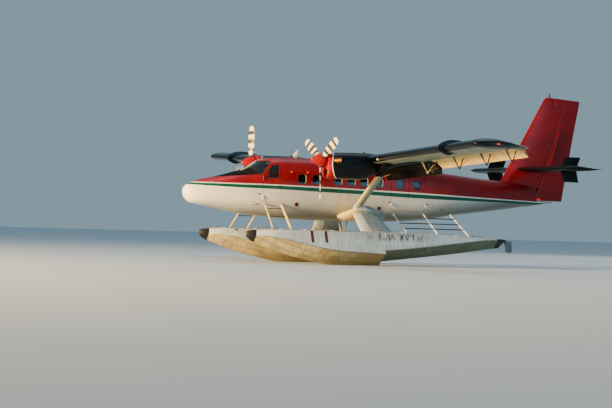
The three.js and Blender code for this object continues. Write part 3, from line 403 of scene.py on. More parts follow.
def seams(tree, shader, place, shade, wide, high, dirt=0.0, tint="#3b3833", upright=True, line=5, depth=0.0012,
          rivets=34):
    """Sheet-metal panels: their joints and rows of rivet heads as relief, and the colour with dirt in the joints.
    The real joints are about 2 mm wide and the rivets 4 mm, which the render can't show, so both are drawn
    coarser."""
    x, y, z = node(tree, "SeparateXYZ", {"Vector": place}).node.outputs
    flat = node(tree, "CombineXYZ", {"X": x, "Y": z if upright else y})
    sheets = {
        "Vector": flat, "Color1": "#000000", "Color2": "#000000", "Mortar": "#ffffff", "Scale": 1.0,
        "Brick Width": wide * MM, "Row Height": high * MM,
    }
    joints, near = [
        node(tree, "TexBrick", {**sheets, "Mortar Size": size * MM, "Mortar Smooth": smooth}, "Fac", offset=0.35)
        for size, smooth in ((line / 2, 0.3), (RIVET_BAND, 0.0))
    ]
    dots = node(
        tree, "TexVoronoi", {"Vector": flat, "Scale": 1 / (rivets * MM), "Randomness": 0.0}, "Distance",
        voronoi_dimensions="2D",
    )
    heads = node(tree, "MapRange", {"Value": dots, "From Min": 0.16, "From Max": 0.24, "To Min": 1.0, "To Max": 0.0})
    rows = node(tree, "Math", {0: heads, 1: near}, operation="MULTIPLY")
    relief = node(tree, "Math", {0: rows, 1: joints}, operation="SUBTRACT")
    wire(shader, {"Normal": node(tree, "Bump", {"Height": relief, "Distance": depth, "Strength": 0.6})})
    return turning(tree, joints, 0.0, 1.0, dirt, shade, tint) if dirt else shade


def worn_paint(name, clean, worn, size=900, amount=0.6, roughness=0.35, panels=None, stretch=(1, 1, 1),
               streak=None, coat=0.08, gloss=0.3, upright=True):
    """Air-dried enamel on riveted aluminium: glossy, a little chalked, with dirt in soft blotches and,
    where "streak" is given, run down in narrow lines."""
    material, tree, shader, place = blank(
        name, Roughness=roughness, Coat_Weight=coat, Coat_Roughness=0.12, Specular_IOR_Level=gloss
    )
    shade = weathered(tree, place, clean, worn, size, amount, stretch)
    if streak:
        shade = weathered(tree, place, shade, streak, 70, 0.5, (1.0, 1.0, 0.09))
    if panels:
        shade = seams(tree, shader, place, shade, *panels, 0.45, upright=upright, depth=0.0007)
    wire(shader, {"Base Color": shade})
    return material


def textured(name, clean, worn, size, amount, kind, pattern, depth, out="Fac", extra=None, **sockets):
    """A plain material in two colours, with a fine relief that one texture draws."""
    material, tree, shader, place = blank(name, **sockets)
    height = node(tree, "Tex" + kind, {"Vector": place, **pattern}, out, **(extra or {}))
    bump = node(tree, "Bump", {"Height": height, "Distance": depth})
    wire(shader, {"Normal": bump, "Base Color": weathered(tree, place, clean, worn, size, amount)})
    return material


def patchy(tree, shader, place, scale, detail, low, high):
    """Roughness that changes in soft patches."""
    dull = node(tree, "TexNoise", {"Vector": place, "Scale": scale, "Detail": detail})
    wire(shader, {"Roughness": node(tree, "MapRange", {"Value": dull, "To Min": low, "To Max": high})})


# Heights of the side stripe's edges along the fuselage: aft, top of the white line, top and bottom of the green.
STRIPE = [
    (0, 2650, 2618, 2560), (300, 2645, 2615, 2542), (1000, 2643, 2612, 2515), (2000, 2640, 2605, 2492),
    (3000, 2638, 2600, 2482), (5000, 2610, 2565, 2432), (6200, 2585, 2540, 2410), (7800, 2550, 2500, 2360),
    (9400, 2510, 2460, 2330), (11000, 2460, 2420, 2320), (12800, 2415, 2385, 2300), (15770, 2345, 2325, 2272),
]
STRIPE_LOW, STRIPE_HIGH = 2200, 2700
STRIPE_WHITE, STRIPE_GREEN = "#f0ece0", "#07503c"
# The black anti-glare panel on the nose: where it starts and ends, and its lower edge's heights there.
ANTI_GLARE = {"from": 1040, "to": 2520, "low": 2838, "high": 2962}


def fuselage_paint():
    """Two-pack polyurethane over riveted aluminium: red above, white below, with a white-edged green stripe
    that falls towards the tail. The white carries painted light: a painted warm highlight at the nose, a painted
    cool shade and sea reflection towards the tail, and a painted green-grey shade and sea reflection along the keel.
    Clear gloss gives the soft sheen."""
    material, tree, shader, place = blank(
        "polyurethane_livery", Roughness=0.3, Coat_Weight=0.1, Coat_Roughness=0.1, Specular_IOR_Level=0.28
    )
    x, _, z = node(tree, "SeparateXYZ", {"Vector": place}).node.outputs
    ends = {"From Min": -LENGTH / 2 * MM, "From Max": LENGTH / 2 * MM}
    along = node(tree, "MapRange", {"Value": x, **ends})
    ends = {"From Min": STRIPE_LOW * MM, "From Max": STRIPE_HIGH * MM}
    height = node(tree, "MapRange", {"Value": z, **ends}, clamp=False)
    shade = weathered(tree, place, "#f1eadb", "#dccfb4", 1100, 0.8)
    shade = weathered(tree, place, shade, "#a79d88", 90, 0.3, (0.6, 1.0, 0.1))
    # Painted light on the white: a painted cool shade and sea reflection towards the tail, a painted warm highlight at
    # the nose, and a painted green-grey shade and sea reflection along the keel, which rises aft.
    shade = turning(tree, x, 0.0, 4.6, 0.45, shade, "#8fb4bd")
    shade = turning(tree, x, -3.9, -6.6, 0.9, shade, "#fff8e4")
    keel = node(tree, "MapRange", {"Value": x, "From Min": 0.6, "From Max": 5.2, "To Max": 0.72})
    over_keel = node(tree, "Math", {0: z, 1: keel}, operation="SUBTRACT")
    shade = turning(tree, over_keel, 2.12, 1.64, 0.85, shade, "#5a5c4c")
    red = weathered(tree, place, "#8d0207", "#68050b", 1400, 0.7)
    for column, tint in ((3, STRIPE_GREEN), (2, STRIPE_WHITE), (1, red)):
        edge = [(row[0] / LENGTH, (row[column] - STRIPE_LOW) / (STRIPE_HIGH - STRIPE_LOW)) for row in STRIPE]
        line = node(tree, "FloatCurve", {"Value": along}, curve=edge)
        above = node(tree, "Math", {0: height, 1: line}, operation="GREATER_THAN")
        shade = node(tree, "Mix", {0: above, 6: shade, 7: tint}, 2, data_type="RGBA")
    wire(shader, {"Base Color": seams(tree, shader, place, shade, 1015, 430, 0.3, "#3a322c")})
    patchy(tree, shader, place, 3.0, 5.0, 0.22, 0.46)
    return material


def acrylic(name, tint, worn):
    """Stretched acrylic: dark because the cabin behind is unlit, with a skin of salt that dulls it in patches."""
    material, tree, shader, place = blank(name, IOR=1.49, Transmission_Weight=0.82)
    wire(shader, {"Base Color": weathered(tree, place, tint, worn, 160)})
    patchy(tree, shader, place, 9.0, 4.0, 0.02, 0.12)
    return material


def rubber(name, tint, worn):
    """Moulded rubber: near black, dusty, with a fine pebbled skin drawn at 8 mm."""
    return textured(name, tint, worn, 120, 0.8, "Noise", {"Scale": 1 / 0.008, "Detail": 3.0}, 0.0012, Roughness=0.62)


def bare_metal(name, clean, worn, roughness=0.35, size=60):
    """Unpainted metal with stains and a fine brushed scatter drawn at 4 mm."""
    scatter = {"Scale": 1 / 0.004, "Detail": 2.0}
    return textured(name, clean, worn, size, 0.8, "Noise", scatter, 0.0003, Metallic=1.0, Roughness=roughness)


def lamp_glass(name, tint, strength):
    """A coloured moulded lens, a little milky, with prism ribs 9 mm apart."""
    return textured(
        name, tint, "#2a0c08", 40, 0.3, "Wave", {"Scale": 1 / 0.009 / 3.14}, 0.001, Roughness=0.15,
        Emission_Strength=strength, Emission_Color=tint,
    )


ENGINE = {"out": 2700, "height": 3459, "disc": 3720}
# White bands on each blade: where they start and end, out from the hub's centre.
BLADE_BANDS = [(270, 410), (540, 680), (830, 1000), (1120, 1300)]


def blade_paint():
    """Epoxy on aluminium blades: black with four white bands so that the turning disc is seen, chipped grey
    towards the tips by spray."""
    material, tree, shader, place = blank("banded_blade_epoxy", Roughness=0.38)
    _, y, z = node(tree, "SeparateXYZ", {"Vector": place}).node.outputs
    side = node(tree, "Math", {0: y}, operation="ABSOLUTE")
    across = node(tree, "Math", {0: side, 1: ENGINE["out"] * MM}, operation="SUBTRACT")
    up = node(tree, "Math", {0: z, 1: ENGINE["height"] * MM}, operation="SUBTRACT")
    offset = node(tree, "CombineXYZ", {"X": across, "Y": up})
    radius = node(tree, "VectorMath", {0: offset}, "Value", operation="LENGTH")
    shade = weathered(tree, place, "#17181b", "#3b3c3f", 90, 0.7)
    for start, end in BLADE_BANDS:
        reach = {0: radius, 1: (start + end) / 2 * MM, 2: (end - start) / 2 * MM}
        band = node(tree, "Math", reach, operation="COMPARE")
        shade = node(tree, "Mix", {0: band, 6: shade, 7: "#ece3cc"}, 2, data_type="RGBA")
    wire(shader, {"Base Color": weathered(tree, place, shade, "#7d7c78", 35, 0.35)})
    return material


# The front edge of the cowl's black part: height from the cowl's lowest point to its top, and how far aft of
# 3900 the edge lies there, as a share of 1200. The white line in front of it is 26 mm wide.
COWL_EDGE = [(0, 0.92), (0.03, 0.34), (0.12, 0.2), (0.3, 0.12), (0.55, 0.08), (0.82, 0.12), (0.95, 0.2), (1, 0.36)]
COWL_LINE = -0.026


def cowl_paint():
    """Polyurethane on the cowls: red round the air intake, black behind a thin white line that curves round the
    front and runs back along the lower edge. Brown streaks run fore and aft over the black behind the exhausts:
    heat stain, and partly a painted reflection along the glossy side."""
    material, tree, shader, place = blank(
        "cowl_polyurethane", Roughness=0.34, Coat_Weight=0.05, Coat_Roughness=0.15, Specular_IOR_Level=0.18
    )
    x, _, z = node(tree, "SeparateXYZ", {"Vector": place}).node.outputs
    height = node(tree, "MapRange", {"Value": z, "From Min": 2.82, "From Max": 3.75})
    edge = node(tree, "FloatCurve", {"Value": height}, curve=COWL_EDGE)
    ends = {"To Min": (3900 - LENGTH / 2) * MM, "To Max": (5100 - LENGTH / 2) * MM}
    start = node(tree, "MapRange", {"Value": edge, **ends})
    behind = node(tree, "Math", {0: x, 1: start}, operation="SUBTRACT")
    shade = weathered(tree, place, "#a00002", "#800205", 500, 0.6)
    black = weathered(tree, place, "#03070b", "#0d1318", 420, 0.8)
    # Brown fore-and-aft streaks: heat stain, and partly a painted reflection.
    black = weathered(tree, place, black, "#262019", 70, 0.35, (0.08, 1.0, 1.0))
    for limit, tint in ((COWL_LINE, STRIPE_WHITE), (0.0, black)):
        beyond = node(tree, "Math", {0: behind, 1: limit}, operation="GREATER_THAN")
        shade = node(tree, "Mix", {0: beyond, 6: shade, 7: tint}, 2, data_type="RGBA")
    wire(shader, {"Base Color": seams(tree, shader, place, shade, 520, 300, depth=0.001, rivets=40)})
    return material


# The two slanted red marks on the outer side of each float: station at the deck, and how far they lean aft
# from the deck to the chine, and their width.
FLOAT_MARKS = {"stations": (3600, 4110), "lean": 0.1, "deck": 1140, "low": 735, "wide": 110, "out": 2250}
# The soot under the doors: its middle, and how far from it the soot is full and gone, along and in height.
SOOT_BLOOM = {"along": (7000, 550, 1600), "height": (985, 60, 200)}


def float_paint():
    """Silver-white enamel on the floats' riveted sides: chalked, scuffed by docks in upright strokes, with a
    black bloom of soot under the doors, and two slanted red marks on the outer side."""
    material, tree, shader, place = blank("float_side_enamel", Roughness=0.42, Metallic=0.15)
    x, y, z = node(tree, "SeparateXYZ", {"Vector": place}).node.outputs
    shade = weathered(tree, place, "#dfeaee", "#b4c2c6", 700, 0.8)
    shade = weathered(tree, place, shade, "#8d8f8e", 60, 0.5, (1.0, 1.0, 0.12))
    shade = weathered(tree, place, shade, "#b29c78", 240, 0.28, (1.0, 1.0, 0.4))
    scuff = node(tree, "Mapping", {"Vector": place, "Scale": (1, 1, 0.22)})
    strokes = node(tree, "TexNoise", {"Vector": scuff, "Scale": 11.0, "Detail": 7.0, "Roughness": 0.7})
    soot = node(tree, "MapRange", {"Value": strokes, "From Min": 0.44, "From Max": 0.56})
    for value, origin, (middle, full, gone) in ((x, LENGTH / 2, SOOT_BLOOM["along"]), (z, 0, SOOT_BLOOM["height"])):
        away = node(tree, "Math", {0: value, 1: (middle - origin) * MM}, operation="SUBTRACT")
        away = node(tree, "Math", {0: away}, operation="ABSOLUTE")
        reach = node(tree, "MapRange", {"Value": away, "From Min": gone * MM, "From Max": full * MM})
        soot = node(tree, "Math", {0: soot, 1: reach}, operation="MULTIPLY")
    shade = node(tree, "Mix", {0: soot, 6: shade, 7: "#38393a"}, 2, data_type="RGBA")
    lean, deck, low, wide, far = [FLOAT_MARKS[key] for key in ("lean", "deck", "low", "wide", "out")]
    drop = node(tree, "Math", {0: z, 1: lean, 2: x}, operation="MULTIPLY_ADD")
    side = node(tree, "Math", {0: y}, operation="ABSOLUTE")
    outer = node(tree, "Math", {0: side, 1: far * MM}, operation="GREATER_THAN")
    above = node(tree, "Math", {0: z, 1: low * MM}, operation="GREATER_THAN")
    where = node(tree, "Math", {0: outer, 1: above}, operation="MULTIPLY")
    red = weathered(tree, place, "#5e0409", "#4a0b10", 200, 0.6)
    for station in FLOAT_MARKS["stations"]:
        middle = (station + wide / 2 - LENGTH / 2 + lean * deck) * MM
        mark = node(tree, "Math", {0: drop, 1: middle, 2: wide / 2 * MM}, operation="COMPARE")
        mark = node(tree, "Math", {0: mark, 1: where}, operation="MULTIPLY")
        shade = node(tree, "Mix", {0: mark, 6: shade, 7: red}, 2, data_type="RGBA")
    shade = seams(tree, shader, place, shade, 610, 330, 0.35, "#55534e", line=6, depth=0.0015, rivets=36)
    wire(shader, {"Base Color": shade})
    return material


def bottom_paint(name, clean, worn, deep):
    """Anti-fouling paint on the float bottoms' small plates: matt, each a little different, and darker aft towards
    the step. Towards the keel it darkens as painted shade and painted water reflection."""
    material, tree, shader, place = blank(name, Roughness=0.6)
    x, y, z = node(tree, "SeparateXYZ", {"Vector": place}).node.outputs
    flat = node(tree, "CombineXYZ", {"X": x, "Y": y})
    plates = node(
        tree, "TexBrick",
        {
            "Vector": flat, "Color1": clean, "Color2": worn, "Mortar": deep, "Scale": 1.0, "Mortar Size": 0.0085,
            "Mortar Smooth": 0.7, "Bias": -0.1, "Brick Width": 0.34, "Row Height": 0.17,
        },
        "Color", offset=0.4,
    )
    shade = weathered(tree, place, plates, deep, 190)
    shade = weathered(tree, place, shade, "#efe3c0", 90, 0.25)
    shade = turning(tree, x, -4.6, -1.3, 0.55, shade, deep)
    # Painted shade and water reflection towards the keel.
    shade = turning(tree, z, 0.42, 0.05, 0.5, shade, deep)
    relief = {"Height": plates.node.outputs["Fac"], "Distance": 0.003, "Strength": 0.5}
    wire(shader, {"Base Color": shade, "Normal": node(tree, "Bump", relief, invert=True)})
    return material


LIVERY = fuselage_paint()
# Padded vinyl trim inside the cabin: a soft matt cream with a fine leather grain, drawn at 6 mm.
LINING = textured(
    "cabin_vinyl", "#c9c2b0", "#a59d8b", 500, 0.6, "Voronoi", {"Scale": 1 / 0.006}, 0.0004, "Distance", Roughness=0.6
)
# Ribbed rubber floor covering: dark grey ribs 20 mm apart that run fore and aft.
FLOOR_COVER = textured(
    "ribbed_rubber_floor", "#3c3e40", "#57534c", 300, 0.7, "Wave", {"Scale": 1 / 0.02 / 3.14, "Distortion": 0.0},
    0.002, extra={"bands_direction": "Y"}, Roughness=0.75,
)
WINDOW = acrylic("window_acrylic", "#2c3439", "#465056")
WINDSHIELD = acrylic("windshield_acrylic", "#2c3a4a", "#475462")
# Near-black rubber for seals and other dark parts, and also painted shade in the gaps between fin and rudder.
SEAL_AND_GAP_SHADE = rubber("seal_rubber_and_painted_gap_shade", "#1b1b1c", "#34322f")
BUMPER = rubber("bow_bumper_rubber", "#140e10", "#2c2524")
RACK_BROWN = rubber("rack_grip_rubber", "#3a211a", "#5a3a2c")
# Near black: real soot in the exhaust stubs, painted shade in the intake duct, flap coves and step recesses.
SOOT_AND_SHADE_BLACK = rubber("soot_and_painted_shade_black", "#0b0a0a", "#241d18")
BOOT = worn_paint("leading_edge_boot_gloss", "#04070c", "#0c1218", 500, 0.6, 0.2, gloss=0.2)
# Dark navy enamel for the wing's top, tips, fence and flap tops, and painted shadow under the inboard wing.
DARK_WING_ENAMEL_AND_SHADOW = worn_paint("wing_top_enamel", "#060c16", "#101924", 900, 0.7, 0.24, (640, 380), upright=False)
# The underside's olive green is painted shade and sea reflection on pale enamel.
WING_UNDER = worn_paint(
    "wing_underside_enamel", "#93976f", "#5f6d54", 420, 1.0, 0.42, (640, 380), (1, 0.45, 1), upright=False
)
# Gold on the outboard flaps and ailerons: painted sunlight on cream enamel.
FLAP_SUNLIT_GOLD = worn_paint("flap_enamel", "#f2cb74", "#d9a245", 350, 0.7, 0.42, (900, 300), upright=False)
# Near black: painted shadow of the nacelle and wing on the inboard flaps, the inboard wing and the strut tops.
FLAP_SHADOW_BLACK = worn_paint(
    "painted_nacelle_shadow_black", "#040303", "#120c09", 260, 0.8, 0.55, (900, 300), coat=0.0, gloss=0.12, upright=False
)
ANTI_GLARE_BLACK = worn_paint("anti_glare_enamel", "#06090d", "#12161b", 420, 0.8, 0.75, coat=0.0, gloss=0.12)
COWL = cowl_paint()
SPINNER_RED = worn_paint("spinner_enamel", "#a40002", "#820104", 120, 0.5, 0.34, coat=0.03, gloss=0.14)
BLADE = blade_paint()
TAIL_RED = worn_paint("tail_enamel", "#8d0208", "#62050b", 1200, 0.7, 0.34, (760, 520), gloss=0.25)
TAIL_BLACK = worn_paint(
    "tailplane_enamel", "#030606", "#0d1212", 400, 0.7, 0.4, (700, 330), coat=0.0, gloss=0.15, upright=False
)
FLOAT_SIDE = float_paint()
# The forebody bottom's gold tan is painted sunlight reflected off the plates.
SUNLIT_FORE_BOTTOM = bottom_paint("forebody_bottom_sunlit_gold", "#dcc78a", "#b29656", "#5d5330")
# The afterbody bottom's dark grey-green is painted shade and water reflection.
SHADED_REAR_BOTTOM = bottom_paint("afterbody_bottom_shaded_green", "#7a8570", "#5d6856", "#3b4436")
DECK = worn_paint("deck_non_slip_paint", "#a9a79e", "#7f7c72", 220, 0.8, 0.8, coat=0.0)
# Cream enamel; on the fronts of the stub fairings and legs it stands as painted sunlight.
CREAM_ENAMEL_AND_SUNLIT = worn_paint("cream_enamel_and_painted_sunlight", "#e9d493", "#c4a55f", 260, 0.7, 0.34, streak="#8f7a4e")
# Grey-green for the struts' rear halves: painted shade.
STRUT_PAINTED_SHADE = worn_paint("strut_painted_shade", "#9aa08c", "#74796a", 260, 0.8, 0.42, streak="#5e584a")
FAIRING = worn_paint("fairing_enamel", "#dfe4e0", "#b4bcb9", 420, 0.8, 0.36, (420, 260), streak="#8b938f")
# Blue-grey for the rear of the legs, stub fairings and cuffs: painted shade.
FAIRING_PAINTED_SHADE = worn_paint("fairing_painted_shade", "#9dabb0", "#76868b", 380, 0.8, 0.4, (420, 260), streak="#5f6c70")
RUDDER_GREY = worn_paint("water_rudder_enamel", "#7c8182", "#5e625f", 160, 0.8, 0.5, streak="#4b4c45", gloss=0.2)
# White enamel for the aerial and rack posts; a painted highlight on the windshield post and the probes.
WHITE_ENAMEL_AND_HIGHLIGHT = worn_paint("white_enamel_and_painted_highlight", "#efe9dc", "#c9c0ad", 160, 0.5)
RED_TRIM = worn_paint("filler_cap_enamel", "#5c0f14", "#3c1014", 40, 0.6, 0.4)
PANEL_BLACK = worn_paint("panel_crackle_paint", "#17181a", "#2a2b2d", 60, 0.6, 0.7, coat=0.0)
HINGE_STEEL = bare_metal("greasy_hinge_steel", "#4a423b", "#241e1a", 0.5, 30)
STEEL = bare_metal("stainless_steel", "#b9bbbc", "#7d7a74", 0.32)
ALUMINIUM = bare_metal("weathered_aluminium", "#aeb1b3", "#85878a", 0.42, 140)
EXHAUST = bare_metal("heat_tinted_exhaust_steel", "#8f6029", "#3a2418", 0.5, 70)
ENGINE_METAL = bare_metal("cast_engine_metal", "#7c7f81", "#4a4744", 0.5, 80)
RED_LENS = lamp_glass("red_lamp_lens", "#e81808", 0.9)
AMBER_LENS = lamp_glass("amber_lamp_lens", "#d97a12", 0.6)
CLEAR_LENS = lamp_glass("clear_lamp_lens", "#dfe4e0", 0.2)
# Wool seat cloth: a plain weave with threads 3 mm apart, drawn at 7 mm, dull with a soft sheen.
SEAT_CLOTH = textured(
    "seat_wool", "#39435a", "#2a3040", 180, 0.7, "Checker",
    {"Scale": 1 / 0.007, "Color1": "#ffffff", "Color2": "#000000"}, 0.0006, Roughness=0.92, Sheen_Weight=0.35,
)

# Fuselage.

# aft, half width, top, bottom, height of the widest line, roundness above it, roundness below it
RADOME = [
    (0, 8, 2330, 2312, 2320, 2, 2),
    (12, 105, 2425, 2215, 2318, 2, 2),
    (45, 180, 2485, 2135, 2312, 2, 2),
    (100, 250, 2535, 2065, 2304, 2.05, 2.05),
    (170, 310, 2578, 2005, 2298, 2.1, 2.1),
    (270, 372, 2622, 1952, 2290, 2.2, 2.2),
]
FUSELAGE = [
    (270, 372, 2622, 1952, 2290, 2.2, 2.2),
    (600, 490, 2742, 1885, 2300, 2.3, 2.3),
    (1100, 610, 2845, 1808, 2320, 2.4, 2.4),
    (1500, 680, 2945, 1740, 2340, 2.5, 2.5),
    (1870, 735, 3050, 1662, 2365, 2.6, 2.6),
    (2250, 777, 3165, 1617, 2382, 2.8, 2.7),
    (2550, 802, 3370, 1590, 2395, 3.1, 2.8),
    (2750, 820, 3470, 1578, 2405, 3.4, 2.9),
    (2980, 838, 3532, 1560, 2415, 3.7, 3),
    (3350, 858, 3570, 1522, 2430, 4, 3.1),
    (4000, 872, 3580, 1492, 2450, 4, 3.2),
    (5270, 875, 3580, 1480, 2460, 4, 3.2),
    (7200, 875, 3500, 1505, 2455, 4, 3.2),
    (8000, 872, 3432, 1520, 2450, 4, 3.2),
    (9000, 855, 3348, 1598, 2450, 4, 3.1),
    (9450, 832, 3309, 1655, 2450, 3.8, 3),
    (10050, 790, 3258, 1750, 2450, 3.6, 2.9),
    (11280, 640, 3155, 1910, 2450, 3.2, 2.7),
    (12380, 470, 3080, 2050, 2460, 2.9, 2.5),
    (13200, 320, 3015, 2165, 2470, 2.6, 2.4),
    (13900, 170, 2960, 2265, 2480, 2.4, 2.3),
]
TAIL_KEEL = [
    (13600, 215, 2408, 2205, 2400, 2, 2),
    (14150, 120, 2408, 2300, 2400, 2, 2),
    (14450, 62, 2408, 2345, 2400, 2, 2),
    (14630, 12, 2408, 2374, 2400, 2, 2),
]
BODY_COUNT = 112
body_rows = refined(FUSELAGE, 110)


def even(points, count):
    """A closed line's points spread evenly along it."""
    closed = points + points[:1]
    reach = [0.0]
    for a, b in zip(closed, closed[1:]):
        reach.append(reach[-1] + math.dist(a, b))
    spread, k = [], 0
    for i in range(count):
        goal = reach[-1] * i / count
        while reach[k + 1] < goal:
            k += 1
        t = (goal - reach[k]) / (reach[k + 1] - reach[k])
        spread.append([a + (b - a) * t for a, b in zip(closed[k], closed[k + 1])])
    return spread


def body_section(row, grow=0, count=BODY_COUNT):
    """A rounded section of the fuselage or a nacelle, moved out by "grow"."""
    aft, half, top, bottom, widest, above, below = row
    line = []
    for i in range(count * 4):
        turn = 2 * math.pi * i / (count * 4)
        c, s = math.cos(turn), math.sin(turn)
        power = 2 / (above if s >= 0 else below)
        height = (top - widest if s >= 0 else widest - bottom) + grow
        line.append(
            ((half + grow) * math.copysign(abs(c) ** power, c), widest + height * math.copysign(abs(s) ** power, s))
        )
    return [spot(aft, y, z) for y, z in even(line, count)]


def body_between(start, end, grow, count, rows):
    """The fuselage between two stations, closed at its ends, moved out by "grow"."""
    between = [row for row in rows if start + 20 < row[0] < end - 20]
    rows = [row_at(body_rows, start), *between, row_at(body_rows, end)]
    return loft([body_section(row, grow, count) for row in rows])


def body_half(aft, height):
    """How far the skin is from the centre line."""
    _, half, top, bottom, widest, above, below = row_at(body_rows, aft)
    reach, power = (top - widest, above) if height > widest else (widest - bottom, below)
    return half * max(0, 1 - abs((height - widest) / reach) ** power) ** (1 / power)


def skin_band(start, end, outer, inner, count=BODY_COUNT):
    """A sheet that follows the fuselage's skin, between two depths."""
    return carved(
        body_between(start, end, outer, count, body_rows),
        body_between(start - 40, end + 40, inner, count, body_rows),
    )


WINDOW_SIZE = {"wide": 300, "high": 300, "corner": 85}
# Cabin windows: front edge, sill
CABIN_WINDOWS = [(3830, 2705), (4370, 2703), (5200, 2700), (5715, 2695), (6205, 2688), (6800, 2668)]
# How far out the cutters for openings on the port side, and on both sides, reach.
REACH = (-1000, -200)
ACROSS = (-1000, 1000)


def rectangle(front, rear, low, high, grow=0):
    """A rectangle seen from the side, with its edges moved out."""
    front, rear, low, high = front - grow, rear + grow, low - grow, high + grow
    return [(front, low), (rear, low), (rear, high), (front, high)]


def window_plate(front, sill, grow=0, reach=REACH):
    wide, high, corner = WINDOW_SIZE.values()
    return side_plate(rectangle(front, front + wide, sill, sill + high, grow), *reach, corner + grow)


CREW_DOOR = [(2570, 2060), (3215, 2060), (3235, 2560), (3190, 3340), (2935, 3340), (2570, 2870)]
CREW_WINDOW = [(2620, 2860), (3110, 2865), (3165, 3285), (2935, 3285), (2755, 3085)]
# The bar between the crew door's window and its quarter light.
CREW_BAR = [(2700, 2850), (2735, 2850), (2790, 3120), (2755, 3120)]
SILL, HEAD, DOOR_CORNER = 1890, 3150, 90
DOOR_GAP = 12
DOOR_SKIN = 40
# Between what depths the doors' panes lie, and how far they and the seals reach past the opening.
DOOR_PANE = (-22, -28)
PANE_LAP, SEAL_LAP = 6, 16
# Doors on the port side, but for the starboard one: front edge, rear edge, hinge line, its lugs, window
DOORS = {
    "cargo_door_front": (7430, 8112, 7421, (2060, 2960), (7620, 2662)),
    "cargo_door_rear": (8127, 8800, 8809, (2060, 2960), (8300, 2645)),
    "cabin_door_starboard": (7560, 8330, 7551, (2060, 2900), (7795, 2655)),
}


def moved_out(outline, grow):
    """An outline of (aft, height) points, each moved away from the middle in both directions."""
    middle = [sum(point[k] for point in outline) / len(outline) for k in (0, 1)]
    return [[place + math.copysign(grow, place - centre) for place, centre in zip(point, middle)] for point in outline]


def door_plate(name, grow=0):
    if name == "crew_door":
        return side_plate(moved_out(CREW_DOOR, grow), *REACH, 30)
    return side_plate(rectangle(*DOORS[name][:2], SILL, HEAD, grow), *REACH, DOOR_CORNER + grow)


SCREEN = {"front": (2110, 3405), "rear": (2900, 3405), "low": (2500, 2955), "post": 32}


def windshield_plate(grow=0):
    front, rear, low, post = SCREEN.values()
    outline = [(front[0] - grow, front[1] + grow), (rear[0] + 2 * grow, rear[1] + grow), (low[0], low[1] - 2 * grow)]
    return side_plate(outline, -1000, -post + grow, 0)


def anti_glare_panel():
    """The black panel on the nose, up to the windshield."""
    first, last, low, high = ANTI_GLARE.values()
    outline = [(first, low), (last, high), (last, 3600), (first, 3600)]
    sheet = kept(skin_band(first, last, 1.5, -6), side_plate(outline, *ACROSS))
    return carved(sheet, windshield_plate(14), mirrored(windshield_plate(14)))


ROOM = {"from": 1900, "to": 9250}


def room_form(start, end, ceiling):
    """The room inside the walls, over the floor."""
    form = body_between(start, end, -WALL, 64, body_rows[::4])
    return kept(form, block((start, end), ACROSS, (FLOOR, ceiling)))


def fuselage():
    """The whole skin, from the radome to the tail, hollow where people sit, with its doors and windows cut."""
    rows = refined(RADOME, 14)[:-1] + body_rows
    hull = loft([body_section(row) for row in rows])
    wing_box = block((5150, 7280), (-1000, 1000), (3235, 4000))
    room = carved(room_form(ROOM["from"], ROOM["to"], 3600), wing_box)
    holes = [window_plate(*place) for place in CABIN_WINDOWS] + [door_plate("crew_door", DOOR_GAP), windshield_plate()]
    port = joined(*[hole.copy() for hole in holes], door_plate("cargo_door_front", DOOR_GAP))
    starboard = mirrored(joined(*holes, door_plate("cabin_door_starboard", DOOR_GAP)))
    hull = carved(hull, room, port, starboard, door_plate("cargo_door_rear", DOOR_GAP))

    def finish(aft, out, height, normal):
        if not 1880 < aft < 9300:
            return 0
        at_door = 2545 < aft < 3260 or 7405 < aft < 8825
        if abs(height - FLOOR) < 2 and abs(normal.z) > 0.9:
            return 2
        depth = body_half(aft, height) - abs(out)
        top = row_at(body_rows, aft)[2]
        if at_door and 2 < depth < WALL + 8 and abs(normal.y) < 0.5:
            return 0
        return 1 if depth > 18 and top - height > 18 and height > FLOOR - 5 else 0

    piece(
        "fuselage", dress(hull, finish), [LIVERY, LINING, FLOOR_COVER],
        replaces=("radome", "nose_section", "cockpit_shell", "cabin_shell", "tail_cone"),
    )
    keel = loft([body_section(row, 0, 48) for row in refined(TAIL_KEEL, 80)])
    piece("tail_keel", keel, LIVERY)


def hinge_knuckles(hinge, lugs, toward):
    """Three-knuckle hinges, each with its leaf, on a line just off the skin."""
    parts = []
    out = -body_half(hinge, 2450) - 14
    for height in lugs:
        parts += [disc((hinge, out, height + rise), 12.5, 44, "Z", 20) for rise in (-13, 34, 81)]
        leaf = block(sorted((hinge, hinge + toward * 40)), (out - 3, out + 3), (height - 30, height + 100))
        parts.append(rounded(leaf, 2, 2))
    return joined(*parts)


def door_leaf(name, window, start, end):
    """A door's curved leaf with its window cut."""
    return carved(kept(skin_band(start, end, 0, -DOOR_SKIN), door_plate(name)), window)


def door_finish(aft, out, height, normal):
    """Lining on the inner side, paint on the rest."""
    depth = body_half(aft, height) - abs(out)
    return 1 if depth > DOOR_SKIN * 0.7 and abs(normal.y) > 0.5 else 0


def window_seal(outer, inner, start, end):
    """A thin rubber frame round an opening, just proud of the skin."""
    return carved(kept(skin_band(start - 30, end + 30, 4, -8), outer), inner)


def door_handle(aft, height):
    """A flush lever on its oval plate."""
    out = -body_half(aft, height)
    lever = rounded(block((aft - 70, aft + 18), (out - 20, out - 8), (height - 11, height + 11)), 4)
    return joined(disc((aft, out - 1, height), 42, 8), lever, disc((aft, out - 11, height), 17, 18))


